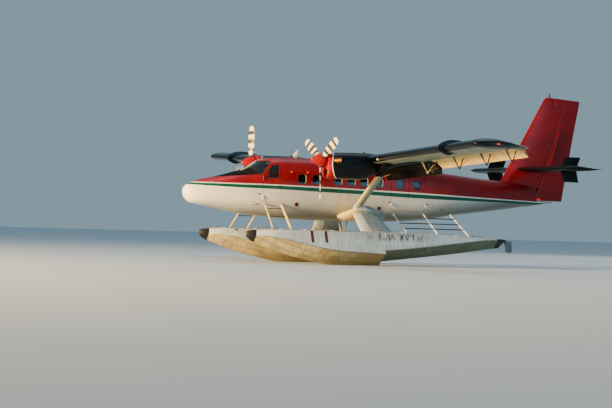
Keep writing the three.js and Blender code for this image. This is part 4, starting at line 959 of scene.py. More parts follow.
def door_pieces(places, leaf, *fittings):
    """A door's leaf, pane, seal, hinges and handle, drawn to port, on each side that has the door."""
    looks = [("_pane", WINDOW, "windshield_glass"), ("_seal", SEAL_AND_GAP_SHADE, None), ("_hinges", LIVERY, None),
             ("_handle", LIVERY, None)]
    dress(leaf, door_finish)
    for name, sign in places:
        turn = bmesh.types.BMesh.copy if sign < 0 else mirrored
        piece(name + "_leaf", turn(leaf), [LIVERY, LINING], name, (name,))
        for (end, finish, slot_name), bm in zip(looks, fittings):
            piece(name + end, turn(bm), finish, name)


def doors():
    bar = kept(skin_band(2640, 2840, -3, -DOOR_SKIN + 6), side_plate(CREW_BAR, *REACH))
    door_pieces(
        [("crew_door_" + side, sign) for side, sign in SIDES],
        joined(door_leaf("crew_door", side_plate(CREW_WINDOW, *REACH, 45), 2500, 3300), bar),
        kept(skin_band(2560, 3240, *DOOR_PANE), side_plate(moved_out(CREW_WINDOW, PANE_LAP), *REACH, 45)),
        window_seal(
            side_plate(moved_out(CREW_WINDOW, SEAL_LAP), *REACH, 55), side_plate(CREW_WINDOW, *REACH, 45), 2560, 3260
        ),
        hinge_knuckles(2560, (2150, 2800), 1), door_handle(3120, 2600),
    )
    for name, (front, rear, hinge, lugs, window) in DOORS.items():
        toward = 1 if hinge < front else -1
        door_pieces(
            [(name, 1 if name.endswith("starboard") else -1)],
            door_leaf(name, window_plate(*window), front - 60, rear + 60),
            kept(skin_band(front, rear, *DOOR_PANE), window_plate(*window, PANE_LAP)),
            window_seal(window_plate(*window, SEAL_LAP), window_plate(*window), front, rear),
            hinge_knuckles(hinge, lugs, toward), door_handle(rear - 90 if toward > 0 else front + 90, 2440),
        )


def cabin_windows():
    """Panes set back in their frames, with rubber seals, and the two halves of the windshield."""
    def openings(grow):
        return joined(*[window_plate(*place, grow, ACROSS) for place in CABIN_WINDOWS])

    piece("cabin_panes", kept(skin_band(3780, 7150, -26, -32), openings(8)), WINDOW)
    rims = carved(kept(skin_band(3780, 7150, 3, -9), openings(15)), openings(0))
    piece("cabin_window_seals", rims, SEAL_AND_GAP_SHADE)
    (front, top), _, (low, sill), half = SCREEN.values()
    # The post between the windshield's halves is white: a painted highlight along it.
    post = block((front - 40, low + 380), (-half - 3, half + 3), (sill, top))
    piece("windshield_post", kept(skin_band(front - 60, low + 400, 5, -26), post), WHITE_ENAMEL_AND_HIGHLIGHT)
    piece("anti_glare_panel", anti_glare_panel(), ANTI_GLARE_BLACK)
    pane = kept(skin_band(2080, 2960, -14, -24), windshield_plate(-0.5))
    pair("windshield_pane_{}", pane, WINDSHIELD, "airframe", "windshield_{}", "windshield_glass", drawn=-1)
    seal = carved(kept(skin_band(2080, 3000, 3, -8), windshield_plate(16)), windshield_plate())
    piece("windshield_seals", both(seal), SEAL_AND_GAP_SHADE)


# Wing.

WING = {"leading": 5247, "root": 3385, "chord": 1980, "ratio": 0.16, "camber": 0.02}
CAMBER_PEAK = 0.4
FLAP_BREAK = 4550
MAIN_END = 0.717
FORE_FLAP = (0.7225, 0.838)
AFT_FLAP = (0.8445, 1.0)
# The pivots' place in the wing's own frame, along the chord and above it.
PIVOT = (1550, -420)
# How far to one side of its station the fixed arm stands, and to the other the moving one.
ARM_STEP = 11.3
# Each set of flaps: its name and its rear element's, inner and outer end, how far each element stands down from
# its retracted place in degrees, its arms, their rods' half thickness across the span and how many times deeper
# they are along the chord, paint, slot, the arms' finish.
FLAPS = (
    # The inboard flaps' near black is painted shadow of the nacelle.
    ("inboard", "flap_aft_{}", (920, 4545), (37.5, 32.5), (1250, 4390), (7, 1.6), FLAP_SHADOW_BLACK, "flap_black", CREAM_ENAMEL_AND_SUNLIT),
    # The outboard flaps' gold is painted sunlight.
    ("outboard", "aileron_{}", (4555, 9588), (18, 25), (4730, 6380, 7990, 9440), (11, 2.0), FLAP_SUNLIT_GOLD, "flap_cream",
     SEAL_AND_GAP_SHADE),
)
# Wing tip: out, the leading edge's setback, chord, thickness
TIP = [
    (9600, 0, 1980, 1),
    (9720, 45, 1900, 0.88),
    (9820, 150, 1720, 0.68),
    (9880, 330, 1420, 0.42),
    (9905, 520, 1080, 0.16),
]


def aerofoil(chord, ratio, camber, start=0.0, end=1.0, nose=0.0, steps=20):
    """A wing section, or a piece of one with a round nose, as (along, up) points from the upper rear round the
    front to the lower rear."""
    upper, lower = [], []
    for i in range(steps + 1):
        x = start + (end - start) * (1 - math.cos(math.pi / 2 * i / steps))
        round_off = math.sqrt(1 - (1 - (x - start) / nose) ** 2) if nose and x - start < nose else 1
        half = 5 * ratio * (0.2969 * math.sqrt(x) - 0.126 * x - 0.3516 * x**2 + 0.2843 * x**3 - 0.1015 * x**4)
        half *= round_off
        if x < CAMBER_PEAK:
            middle = camber / CAMBER_PEAK**2 * (2 * CAMBER_PEAK * x - x * x)
        else:
            middle = camber / (1 - CAMBER_PEAK) ** 2 * (1 - 2 * CAMBER_PEAK + 2 * CAMBER_PEAK * x - x * x)
        upper.append((x * chord, (middle + half) * chord))
        if i:
            lower.append((x * chord, (middle - half) * chord))
    return upper[::-1] + lower


def wing_section(start=0.0, end=1.0, nose=0.0, steps=20):
    return aerofoil(WING["chord"], WING["ratio"], WING["camber"], start, end, nose, steps)


def wing_spot(along, up, out):
    """A point of the starboard wing: along the chord, above it, and out from the centre line."""
    rise = up * math.cos(INCIDENCE) - along * math.sin(INCIDENCE)
    return spot(
        WING["leading"] + along * math.cos(INCIDENCE) + up * math.sin(INCIDENCE),
        out - rise * math.sin(DIHEDRAL),
        WING["root"] + out * math.tan(DIHEDRAL) + rise * math.cos(DIHEDRAL),
    )


def wing_ring(points, out):
    return [wing_spot(along, up, out) for along, up in points]


def wing_plate(outline, out, thick):
    return loft([wing_ring(outline, out - thick / 2), wing_ring(outline, out + thick / 2)])


def wing_rod(start, end, out, radius, flat=1.0):
    """A bar in the wing's own frame, between two (along, up) places."""
    length = math.dist(start, end)
    c, s = (end[0] - start[0]) / length, (end[1] - start[1]) / length
    return loft([
        [wing_spot(along - s * a * flat, up + c * a * flat, out + b) for a, b in circle(radius, 12)]
        for along, up in (start, end)
    ])


def pivot_boss(out):
    return wing_plate([(PIVOT[0] + a, PIVOT[1] + u) for a, u in circle(25, 20)], out, 20)


# The fence: its station along the wing and thickness, how far its edge stands off the section behind and how much
# further in front, by what share of the chord that is gone, and how far aft it runs on the underside.
FENCE = {"out": 7800, "thick": 14, "rim": 30, "gain": 80, "end": 0.62, "underside": 300}


def fence_outline():
    """The edge of the hooked plate that runs round the leading edge."""
    outline = []
    for along, up in wing_section(0, 0.66, steps=26):
        x = along / WING["chord"]
        out = FENCE["rim"] + FENCE["gain"] * (1 - min(1, x / FENCE["end"])) ** 0.6
        lean = max(0, 1 - x / 0.1)
        if up > 0 or along < FENCE["underside"]:
            outline.append((along - out * lean, up + math.copysign(out * (1 - 0.55 * lean), up - 20)))
    return outline


def wing_finish(aft, out, height, normal):
    """Boot round the nose, dark enamel above, olive enamel below, which is painted shade on pale paint; the tip is
    dark all over. Dark enamel under the inboard wing ahead of the flaps is painted shadow of the nacelle.
    """
    along = aft - WING["leading"]
    out = abs(out)
    setback = max(0, out - 9500) * 0.5
    if along < 95 + setback or (normal.z < 0 and along < 190 + setback * 2):
        return 0
    # Painted shadow of the nacelle under the inboard wing.
    in_nacelle_shadow = out < FLAP_BREAK - 150 and along > 880
    return 1 if out > 9595 or normal.z > -0.05 or in_nacelle_shadow else 2


def wings():
    stations = [450, 900, 2000, 3200, 4400, 4550, 6000, 7500, 8800, 9600]
    box = loft([wing_ring(wing_section(0, MAIN_END, steps=26), out) for out in stations])
    whole = wing_section(steps=26)
    tip = loft([
        wing_ring([(setback + along * chord / WING["chord"], up * thickness) for along, up in whole], out)
        for out, setback, chord, thickness in refined(TIP, 24)
    ])
    wing = dress(joined(box, tip), wing_finish)
    pair("wing_{}", wing, [BOOT, DARK_WING_ENAMEL_AND_SHADOW, WING_UNDER], "airframe", "wing_{}", "wing_cream", 34)
    # A near-black wall closes the cove in front of the flaps along the whole span: painted shade in the slot.
    cove = loft([wing_ring([(1395, 150), (1428, 95), (1428, -40), (1395, -42)], out) for out in (930, 9590)])
    # The landing lamp is let into the leading edge outboard of the engine.
    lamp = turned([(-34, 0), (-28, 22), (-10, 36), (20, 40), (40, 38), (41, 0)], (5290, 3700, 3524), 28)
    parts = [
        ("wing_fence_{}", rounded(wing_plate(fence_outline(), FENCE["out"], FENCE["thick"]), 4, 2, 50), DARK_WING_ENAMEL_AND_SHADOW),
        ("flap_cove_{}", cove, SOOT_AND_SHADE_BLACK), ("wing_lamp_{}", lamp, CLEAR_LENS),
    ]
    for part, _, _, _, places, rod, _, _, finish in FLAPS:
        brackets = []
        for out in places:
            place = out - ARM_STEP
            brackets += [
                wing_rod((1275, -40), PIVOT, place, *rod), wing_rod((1350, -45), (1452, -270), place, 6, 1.5),
                pivot_boss(place),
            ]
        parts.append((part + "_flap_brackets_{}", joined(*brackets), finish))
    for name, bm, finish in parts:
        pair(name, bm, finish, slot="windshield_glass" if finish is CLEAR_LENS else "wing_cream", sharp=40)


def flap_turn(along, up, degrees):
    """Turns the starboard wing's parts about a hinge line that rises with the wing."""
    centre = wing_spot(along, up, 0)
    axis = Vector((0, math.cos(DIHEDRAL), math.sin(DIHEDRAL)))
    return Matrix.Translation(centre) @ Matrix.Rotation(math.radians(degrees), 4, axis) @ Matrix.Translation(-centre)


def flap_finish(aft, out, height, normal):
    return 1 if normal.z > 0.15 else 0


def flaps():
    """The lowered elements with their arms, turned about the lines that they hinge on."""
    sections = [wing_section(*FORE_FLAP, 0.03, 14), wing_section(*AFT_FLAP, 0.02, 14)]
    hinge = (AFT_FLAP[0] * WING["chord"] + 26, 8)
    lug = [(hinge[0] + a, hinge[1] + u) for a, u in ((-95, 14), (0, 14), (12, 0), (0, -14), (-95, -14))]
    for part, rear_name, (start, end), (lowered, folded), places, rod, paint, slot_name, arm_finish in FLAPS:
        lift = flap_turn(*PIVOT, lowered)
        fold = lift @ flap_turn(*hinge, folded)
        stations = [start + (end - start) * i / 6 for i in range(7)]
        fore, rear = [loft([wing_ring(section, out) for out in stations]) for section in sections]
        arms = [wing_plate(lug, out, 20) for out in (start + 420, (start + end) / 2, end - 420)]
        for out in places:
            place = out + ARM_STEP
            arms += [
                wing_rod(PIVOT, (PIVOT[0] + 8, -14), place, *rod), pivot_boss(place),
                wing_rod((PIVOT[0] + 8, PIVOT[1] + 60), (PIVOT[0] + 175, -60), place, 6),
            ]
        arms = joined(*arms)
        for bm, matrix in ((fore, lift), (rear, fold), (arms, lift)):
            bmesh.ops.transform(bm, matrix=matrix, verts=bm.verts[:])
        fore_name = "flap_" + part + "_{}"
        for name, bm in ((fore_name, fore), (rear_name, rear)):
            pair(name + "_skin", dress(bm, flap_finish), [paint, DARK_WING_ENAMEL_AND_SHADOW], name, name, slot_name)
        pair(fore_name + "_arms", arms, arm_finish, fore_name, slot="flap_cream")


# Engines.

# Nacelle about its own centre line: aft, half width, top, bottom, widest line, roundness above, below
NACELLE = [
    (3865, 262, 3722, 3150, 3459, 2, 2.2),
    (3910, 290, 3730, 2935, 3430, 2.05, 2.3),
    (4050, 345, 3700, 2860, 3380, 2.2, 2.4),
    (4300, 385, 3720, 2850, 3330, 2.5, 2.5),
    (4800, 402, 3735, 2840, 3310, 2.6, 2.6),
    (5300, 392, 3738, 2865, 3330, 2.5, 2.5),
    (5800, 290, 3715, 3065, 3370, 2.1, 2.1),
    (6150, 215, 3640, 3190, 3400, 2.05, 2.05),
    (6400, 120, 3540, 3300, 3420, 2, 2),
]
INTAKE = {"front": 3872, "height": 3060, "half": 157, "tall": 120}
# Sections of the air intake's lip and of its duct: aft of the front, and how much wider and taller each is.
INTAKE_LIP = [(8, 26, 22), (0, 40, 35), (10, 68, 56), (30, 92, 74), (110, 116, 88), (288, 130, 92), (458, 100, 70)]
INTAKE_DUCT = [(-20, 22, 16), (12, 2, 0), (60, -6, -8), (420, -17, -30)]


def intake_form(sections):
    front, height, half, tall = INTAKE.values()
    return loft([
        [spot(front + aft, ENGINE["out"] + a * (half + wider), height + b * (tall + taller)) for a, b in circle(1, 48)]
        for aft, wider, taller in sections
    ])


def cowl_finish(aft, out, height, normal):
    """Painted shade in the intake's duct, which is near black; paint on the rest."""
    _, middle, half, tall = INTAKE.values()
    inside = math.hypot((abs(out) - ENGINE["out"]) / half, (height - middle) / tall) < 0.97
    return 1 if inside and 3885 < aft < 4400 else 0


def bore_finish(aft, out, height, normal, side):
    """Soot inside an exhaust stub, whose middle runs out and aft."""
    share = min(1, max(0, (aft - 4085) / 177))
    middle = ENGINE["out"] + side * (225 + 253 * share)
    away = Vector((0, out - middle, height - ENGINE["height"] + 15))
    facing_in = away.dot(Vector((0, normal.y, normal.z))) < 0
    return 1 if facing_in and abs(normal.x) < 0.95 else 0


def nacelles():
    middle, level = ENGINE["out"], ENGINE["height"]
    cowl = loft([body_section(row, 0, 72) for row in refined(NACELLE, 60)])
    bmesh.ops.translate(cowl, vec=(0, middle * MM, 0), verts=cowl.verts[:])
    cowl = carved(cowl, intake_form(INTAKE_LIP), operation="UNION")
    cowl = carved(cowl, intake_form(INTAKE_DUCT), disc((3800, middle, level), 236, 400, "X", 64))
    exhausts, mouths = [], []
    # The filler cap on top, and the latches along the cowl's split line.
    fittings = [disc((5310, middle, 3752), 44, 56, "Z", 24)]
    for side in (-1, 1):
        def at(aft, away, up):
            return aft, middle + side * away, level + up

        start = [at(4085, 225, -22), at(4150, 350, -15)]
        stub = carved(pipe([*start, at(4262, 478, -4)], 92, 36), pipe([*start, at(4300, 520, 0)], 80, 36))
        exhausts.append(dress(stub, lambda *face: bore_finish(*face, side)))
        exhausts.append(pipe([at(4098, 250, -21), at(4112, 278, -19)], 104, 36))
        mouths.append(disc(at(4180, 385, -12), 81, 6, "X", 36))
        out = middle + side * 392
        for aft in (4420, 4720, 5020):
            fittings.append(rounded(block((aft, aft + 46), (out - 6, out + 6), (3300, 3322)), 3, 2))
    pair("nacelle_cowl_{}", dress(cowl, cowl_finish), [COWL, SOOT_AND_SHADE_BLACK], "airframe", "nacelle_{}", "cowl_black", 38)
    for name, bodies, finishes in (
        ("exhaust_stubs_{}", exhausts, [EXHAUST, SOOT_AND_SHADE_BLACK]), ("exhaust_linings_{}", mouths, SOOT_AND_SHADE_BLACK),
        ("nacelle_fittings_{}", fittings, HINGE_STEEL),
    ):
        pair(name, joined(*bodies), finishes, slot="engine_steel", sharp=38)


# Blade: out from the hub's centre, chord, thickness, pitch in degrees
PROP_BLADE = [
    (90, 100, 96, 50),
    (260, 130, 70, 44),
    (450, 215, 40, 36),
    (800, 270, 24, 25),
    (1180, 240, 13, 18),
    (1265, 190, 10, 17),
    (1295, 90, 6, 16),
]
# Back from the disc's centre, and radius
SPINNER = [(-374, 0), (-372, 12), (-345, 50), (-260, 115), (-130, 182), (0, 222), (125, 240), (132, 236), (132, 0)]
# How far the first blade of each propeller is turned from straight up, in degrees.
BLADE_PHASE = {"port": 180, "starboard": 0}


def propellers():
    centre = (ENGINE["disc"], ENGINE["out"], ENGINE["height"])
    hub = spot(*centre)
    rings = []
    for radius, chord, thick, pitch in refined(PROP_BLADE, 60):
        c, s = math.cos(math.radians(pitch)), math.sin(math.radians(pitch))
        section = [(a * chord / 2, b * thick / 2) for a, b in circle(1, 24)]
        rings.append([hub + MM * Vector((b * c - a * s, a * c + b * s, radius)) for a, b in section])
    cuff = [
        [hub + MM * Vector((a * r, b * r, out)) for a, b in circle(1, 28)]
        for out, r in ((200, 78), (238, 78), (246, 70), (246, 60))
    ]
    for name, source, finish, slot_name in (
        ("blades_", loft(rings), BLADE, "blade_black"), ("blade_cuffs_", loft(cuff), SEAL_AND_GAP_SHADE, "bumper_rubber"),
    ):
        for side, sign in SIDES:
            body = "propeller_" + side
            set_of_three = []
            for turn in (0, 120, 240):
                copy = shifted(source, 0, 0 if sign > 0 else -2 * ENGINE["out"])
                axis_point = spot(centre[0], sign * centre[1], centre[2])
                spin = Matrix.Rotation(math.radians(turn + BLADE_PHASE[side]), 3, "X")
                bmesh.ops.rotate(copy, cent=axis_point, matrix=spin, verts=copy.verts[:])
                set_of_three.append(copy)
            replaced = (body,) if name == "blades_" else ()
            piece(name + side, joined(*set_of_three), finish, body, replaced, 50)
    spinner = turned([SPINNER[0], *refined(SPINNER[1:6], 18), *SPINNER[6:]], centre, 64)
    pair("spinner_shell_{}", spinner, SPINNER_RED, "propeller_{}", "spinner_{}", "spinner_red", 40)
    back_plate = disc((centre[0] + 138, *centre[1:]), 228, 14, "X", 64)
    pair("spinner_back_plate_{}", back_plate, ALUMINIUM, "propeller_{}", slot="engine_steel")


# Tail.

# Two (aft, height) places on the rudder's hinge line.
FIN_HINGE = ((14000, 2620), (15030, 5720))
# Fin and rudder: height, leading edge, trailing edge, thickness
FIN = [
    (2430, 12045, 15083, 330),
    (3070, 12410, 15190, 320),
    (3820, 12850, 15335, 275),
    (5000, 13540, 15555, 200),
    (5900, 14065, 15735, 150),
    (6120, 14195, 15770, 110),
    (6215, 14300, 15760, 60),
]
fin_rows = refined(FIN, 260)
# The rudder's hinge line lies this far behind its round nose, as a share of the section's thickness.
NOSE_SHARE = 0.4
# The rudder's horn: height of its lower edge, its front there, how far that leans aft per height, the gap.
HORN = {"from": 5895, "front": 14572, "lean": 0.12, "gap": 27}
# The sloping line along which both tops are cut.
FIN_TOP = ((14250, 6225), (15800, 6135))


def horn_front(height):
    return HORN["front"] + (height - HORN["from"]) * HORN["lean"]


def hinge_aft(height):
    (x0, z0), (x1, z1) = FIN_HINGE
    return x0 + (x1 - x0) * (height - z0) / (z1 - z0)


def fin_ring(row, start, end, nose, steps=18):
    """A section of the fin or, with a round nose, of the rudder."""
    height, leading, trailing, thick = row
    points = []
    for i in range(steps + 1):
        x = start + (end - start) * (1 - math.cos(math.pi / 2 * i / steps))
        t = (x - leading) / (trailing - leading)
        body = 4.4 * t**0.5 * (1 - t) ** 0.95 * 0.43 if 0 < t < 1 else 0
        round_off = math.sqrt(max(0, 1 - (1 - min(1, (x - start) / nose)) ** 2)) if nose else 1
        points.append((x, thick / 2 * min(1, body) * round_off + 3 * round_off))
    upper = [spot(x, y, height) for x, y in reversed(points)]
    lower = [spot(x, -y, height) for x, y in points[1:]]
    return upper + lower


def capped_by(bm, line):
    """Cuts a tail surface's top along a sloping line of two (aft, height) places."""
    (x0, z0), (x1, z1) = line
    across = Vector((-(z1 - z0), 0, x1 - x0)).normalized()
    bmesh.ops.bisect_plane(
        bm, geom=bm.verts[:] + bm.edges[:] + bm.faces[:], plane_co=spot(x0, 0, z0), plane_no=across,
        clear_outer=True,
    )
    bmesh.ops.holes_fill(bm, edges=bm.edges[:], sides=0)
    bmesh.ops.recalc_face_normals(bm, faces=bm.faces[:])
    return bm


def rudder_post(clear):
    rings = []
    for height, _, _, thick in [(2200, 0, 0, 330), *fin_rows]:
        radius = thick * NOSE_SHARE + clear
        rings.append([spot(hinge_aft(height) + a, b, height) for a, b in circle(radius, 40)])
    return loft(rings)


def gap_finish(aft, out, height, normal):
    """The faces in the gaps between fin and rudder, and round the horn, are dark as painted shade."""
    if abs(normal.y) > 0.8:
        return 0
    at_hinge = hinge_aft(height) - 170 < aft < hinge_aft(height) + 5 and height < HORN["from"] + 5
    at_horn = abs(height - HORN["from"] + 9) < 12 or (height > HORN["from"] and abs(aft - horn_front(height)) < 40)
    return 1 if at_hinge or at_horn else 0


def fin_and_rudder():
    fin = loft([fin_ring(row, row[1], min(hinge_aft(row[0]) - 20, row[2]), 0) for row in fin_rows])
    low, high, gap = HORN["from"] - 18, 6500, HORN["gap"]
    top_cut = [(horn_front(low) - gap, low), (16200, low), (16200, high), (horn_front(high) - gap, high)]
    low_cut = block((11000, 16000), (-500, 500), (2000, 2900))
    fin = capped_by(carved(fin, rudder_post(9), side_plate(top_cut, -400, 400), low_cut), FIN_TOP)
    piece("fin_skin", dress(fin, gap_finish), [TAIL_RED, SEAL_AND_GAP_SHADE], "airframe", ("fin",), 38)
    noses = [row[3] * NOSE_SHARE for row in fin_rows]
    rudder = loft([fin_ring(row, hinge_aft(row[0]) - nose, row[2], nose) for row, nose in zip(fin_rows, noses)])
    horn_rows = [row_at(fin_rows, HORN["from"]), *[row for row in fin_rows if row[0] > HORN["from"]]]
    horn = loft([fin_ring(row, horn_front(row[0]), row[2], row[3] * NOSE_SHARE) for row in horn_rows])
    rudder = capped_by(carved(rudder, horn, operation="UNION"), FIN_TOP)
    piece("rudder_skin", dress(rudder, gap_finish), [TAIL_RED, SEAL_AND_GAP_SHADE], "rudder", ("rudder",), 38)

    def half_gap(height):
        return row_at(fin_rows, height)[3] * NOSE_SHARE

    brackets = []
    for height in (3250, 4400, 5400):
        hinge, out = hinge_aft(height), half_gap(height)
        ends = (hinge - 150, out * 0.94, height - 8), (hinge - 30, out + 4, height)
        brackets.append(member(*ends, circle(15, 12), circle(11, 12)))
    piece("rudder_hinge_brackets", both(*brackets), TAIL_RED)
    # A dark plate in the horn's gap: painted shade.
    piece("horn_gap_shade_plate", block((14552, 15008), (-30, 30), (5874, 5888)), SEAL_AND_GAP_SHADE)
    stiffener = pipe([(hinge_aft(z) + 95, half_gap(z) - 12, z) for z in (3300, 3900, 4500, 5000)], 16, 10)
    piece("rudder_stiffeners", both(stiffener), TAIL_RED, "rudder")
    piece("rudder_tab_rods", both(pipe([(14880, 45, 4300), (15240, 26, 4330)], 7, 8)), TAIL_RED, "rudder")
    wicks = [pipe([(trailing - 8, 0, height), (trailing + 110, 0, height - 12)], 4, 8)
             for height, trailing in ((5950, 15738), (5450, 15640), (5100, 15575))]
    piece("rudder_static_wicks", joined(*wicks), HINGE_STEEL, "rudder")
    spike = member((14440, 0, 6185), (14446, 0, 6385), teardrop(95, 34, 16), teardrop(26, 12, 16))
    piece("fin_aerial", joined(spike, disc((14440, 0, 6200), 40, 40, "Z", 20)), TAIL_RED)


TAILPLANE = {"leading": 13085, "height": 3546, "chord": 1560, "half": 3150}
ELEVATOR_START = 330


def tail_rings(start, end, nose, scale_ends):
    shape = aerofoil(TAILPLANE["chord"], 0.125, 0, start, end, nose, 18)
    return [
        [spot(TAILPLANE["leading"] + along, out, TAILPLANE["height"] + up * scale) for along, up in shape]
        for out, scale in scale_ends
    ]


def tailplane():
    half = TAILPLANE["half"]
    ends = [(half - 140, 1), (half - 100, 0.95), (half - 60, 0.8), (half - 25, 0.58), (half, 0.35)]
    across = [(-out, scale) for out, scale in reversed(ends)] + [(0, 1)] + ends
    skin = loft(tail_rings(0, 0.68, 0, across))
    piece("tailplane_skin", skin, TAIL_BLACK, "airframe", ("tailplane",), 38)
    ends = [(ELEVATOR_START, 1), (1800, 1), (half - 140, 1), (half - 60, 0.8), (half - 10, 0.5)]
    elevator = loft(tail_rings(0.69, 1, 0.025, ends))
    outline = [(13335, 3520), (13525, 3080), (14135, 3072), (14025, 3530), (14200, 3968), (13535, 3956)]
    finlet = rounded(side_plate(outline, 2400, 2420, 20), 5, 2, 50)
    pair("elevator_{}_skin", elevator, TAIL_BLACK, "elevator_{}", "elevator_{}", "tailplane_black", 38)
    pair("finlet_plate_{}", finlet, TAIL_BLACK, "airframe", "finlet_{}", "tailplane_black", 38)


# Floats.

FLOAT_OUT = 1900
# aft, deck half width, chine half width, deck, chine, keel
FOREBODY = [
    (1740, 120, 135, 1080, 905, 705),
    (2080, 235, 262, 1115, 905, 580),
    (2450, 305, 350, 1120, 868, 470),
    (2860, 355, 410, 1120, 800, 340),
    (3300, 390, 450, 1120, 705, 228),
    (4050, 415, 485, 1120, 562, 78),
    (4650, 420, 500, 1120, 485, 0),
    (5490, 420, 500, 1120, 440, 0),
    (6420, 420, 500, 1120, 400, 0),
]
AFTERBODY = [
    (6360, 420, 490, 1120, 515, 128),
    (7860, 405, 450, 1115, 650, 285),
    (9440, 350, 375, 1060, 830, 460),
    (10730, 285, 295, 1000, 955, 640),
    (11150, 250, 255, 970, 945, 690),
]
# How much further aft than the keel the deck ends, at the bow and at the stern.
BOW_LEAN, STERN_LEAN = 50, 160
# The bumper's rings: aft, share of the bow's width, deck, chine, keel
BUMPER_ROWS = [
    (1739, 1, 1080, 905, 705),
    (1690, 0.98, 1079, 908, 718),
    (1625, 0.86, 1072, 915, 758),
    (1565, 0.72, 1062, 922, 798),
    (1520, 0.58, 1050, 930, 830),
    (1480, 0.38, 1030, 940, 870),
    (1461, 0.2, 1010, 950, 905),
]
WATER_RUDDER = {"hinge": 11430, "top": 900, "bottom": 520}


def float_section(row, lean=0):
    """A float's section: crowned deck, rolled gunwale, straight side, hard chine and a vee bottom that hollows
    towards the keel."""
    aft, deck_half, chine_half, deck, chine, keel = row
    profile = [
        (0, deck + 26), (deck_half * 0.35, deck + 24), (deck_half * 0.7, deck + 16),
        (deck_half - 25, deck + 8), (deck_half - 7, deck - 2), (deck_half, deck - 24),
        (deck_half + (chine_half - deck_half) * 0.5, (deck + chine) / 2),
        (chine_half, chine + 14), (chine_half - 8, chine - 14),
        (chine_half * 0.72, keel + (chine - keel) * 0.66), (chine_half * 0.5, keel + (chine - keel) * 0.47),
        (chine_half * 0.25, keel + (chine - keel) * 0.2), (30, keel),
    ]
    half = [spot(aft + lean * (z - keel) / (deck - keel), y, z) for y, z in profile]
    return half + [Vector((p.x, -p.y, p.z)) for p in reversed(half[1:])]


def float_finish(aft, out, height, normal):
    """Deck paint on the walkway, enamel on the sides, bottom paint under the chine."""
    if normal.z > 0.8:
        return 1
    if normal.z < -0.12:
        return 2 if aft < 6425 else 3
    return 0


def float_rows(aft):
    return FOREBODY if aft < 6400 else AFTERBODY


def float_hull():
    fore, rear = refined(FOREBODY, 150), refined(AFTERBODY, 220)
    leans = {fore[0][0]: BOW_LEAN, rear[-1][0]: STERN_LEAN}
    parts = [loft([float_section(row, leans.get(row[0], 0)) for row in rows]) for rows in (fore, rear)]
    return dress(joined(*parts), float_finish)


def stern_cap():
    """A thin dark rubber cap over the float's last 170 mm."""
    last = AFTERBODY[-1]
    start = row_at(AFTERBODY, last[0] - 170)
    rings = []
    for row, lean, grow, back in (
        (start, 0, -3, 0), (start, 0, 4, 0), (last, STERN_LEAN, 5, 6), (last, STERN_LEAN, -16, 14),
    ):
        aft, deck_half, chine_half, deck, chine, keel = row
        row = (aft + back, deck_half + grow, chine_half + grow, deck + grow, chine, keel - grow)
        rings.append(float_section(row, lean))
    return loft(rings)


def float_fittings():
    """Hatch covers, cleats with their feet, and the rubbing strips along the chines and the keel."""
    hatches, metal, strips = [], [], []
    for aft in (2420, 3650, 4650, 7400, 8500, 9500):
        deck = row_at(float_rows(aft), aft)[3]
        hatches.append(disc((aft, 0, deck + 28), 118, 16, "Z", 32))
        metal.append(disc((aft, 0, deck + 37), 16, 10, "Z", 16))
    for aft in (2250, 4200, 6900, 10300):
        row = row_at(float_rows(aft), aft)
        for side in (-1, 1):
            out, top = side * (row[1] - 62), row[3] + 22
            metal.append(pipe([(aft + along, out, top + up) for along, up in ((-85, 46), (0, 42), (85, 46))], 10, 12))
            for foot in (-34, 34):
                metal.append(pipe([(aft + foot, out, top - 12), (aft + foot, out, top + 44)], 9, 10))
    fore, rear = refined(FOREBODY, 300)[1:], refined(AFTERBODY, 300)[:-1]
    for rows in (fore, rear):
        for side in (-1, 1):
            strips.append(pipe([(row[0], side * (row[2] + 1), row[4]) for row in rows], 9, 8))
    strips.append(pipe([(row[0], 0, row[5] + 14) for row in fore], 12, 8))
    return joined(*hatches), joined(*metal), joined(*strips)


def bumper():
    """The rubber on the bow, whose rings stand the straighter the further forward they are."""
    start, end = BUMPER_ROWS[0][0], BUMPER_ROWS[-1][0]
    return loft([
        float_section((aft, 122 * scale, 137 * scale, *heights), BOW_LEAN * (1 + (start - aft) / (end - start)))
        for aft, scale, *heights in BUMPER_ROWS
    ])


def water_rudder_blade():
    hinge, top, bottom = WATER_RUDDER.values()
    outline = [
        (hinge + 22, top + 70), (hinge + 300, top + 10), (hinge + 330, bottom + 60), (hinge + 250, bottom),
        (hinge + 60, bottom + 30),
    ]
    blade = rounded(side_plate(outline, -9, 9, 18), 4, 2, 50)
    post = pipe([(hinge, 0, top - 100), (hinge, 0, top + 90)], 16, 20)
    web = block((hinge, hinge + 60), (-9, 9), (top - 100, top + 70))
    tiller = pipe([(hinge + 20, -110, top + 96), (hinge, 0, top + 92), (hinge + 20, 110, top + 96)], 8, 10)
    ribs = [pipe([(hinge + 60, out, z), (hinge + 290, out, z)], 5, 8) for z in (620, 700, 780) for out in (-10, 10)]
    return joined(blade, post, web, tiller, *ribs)


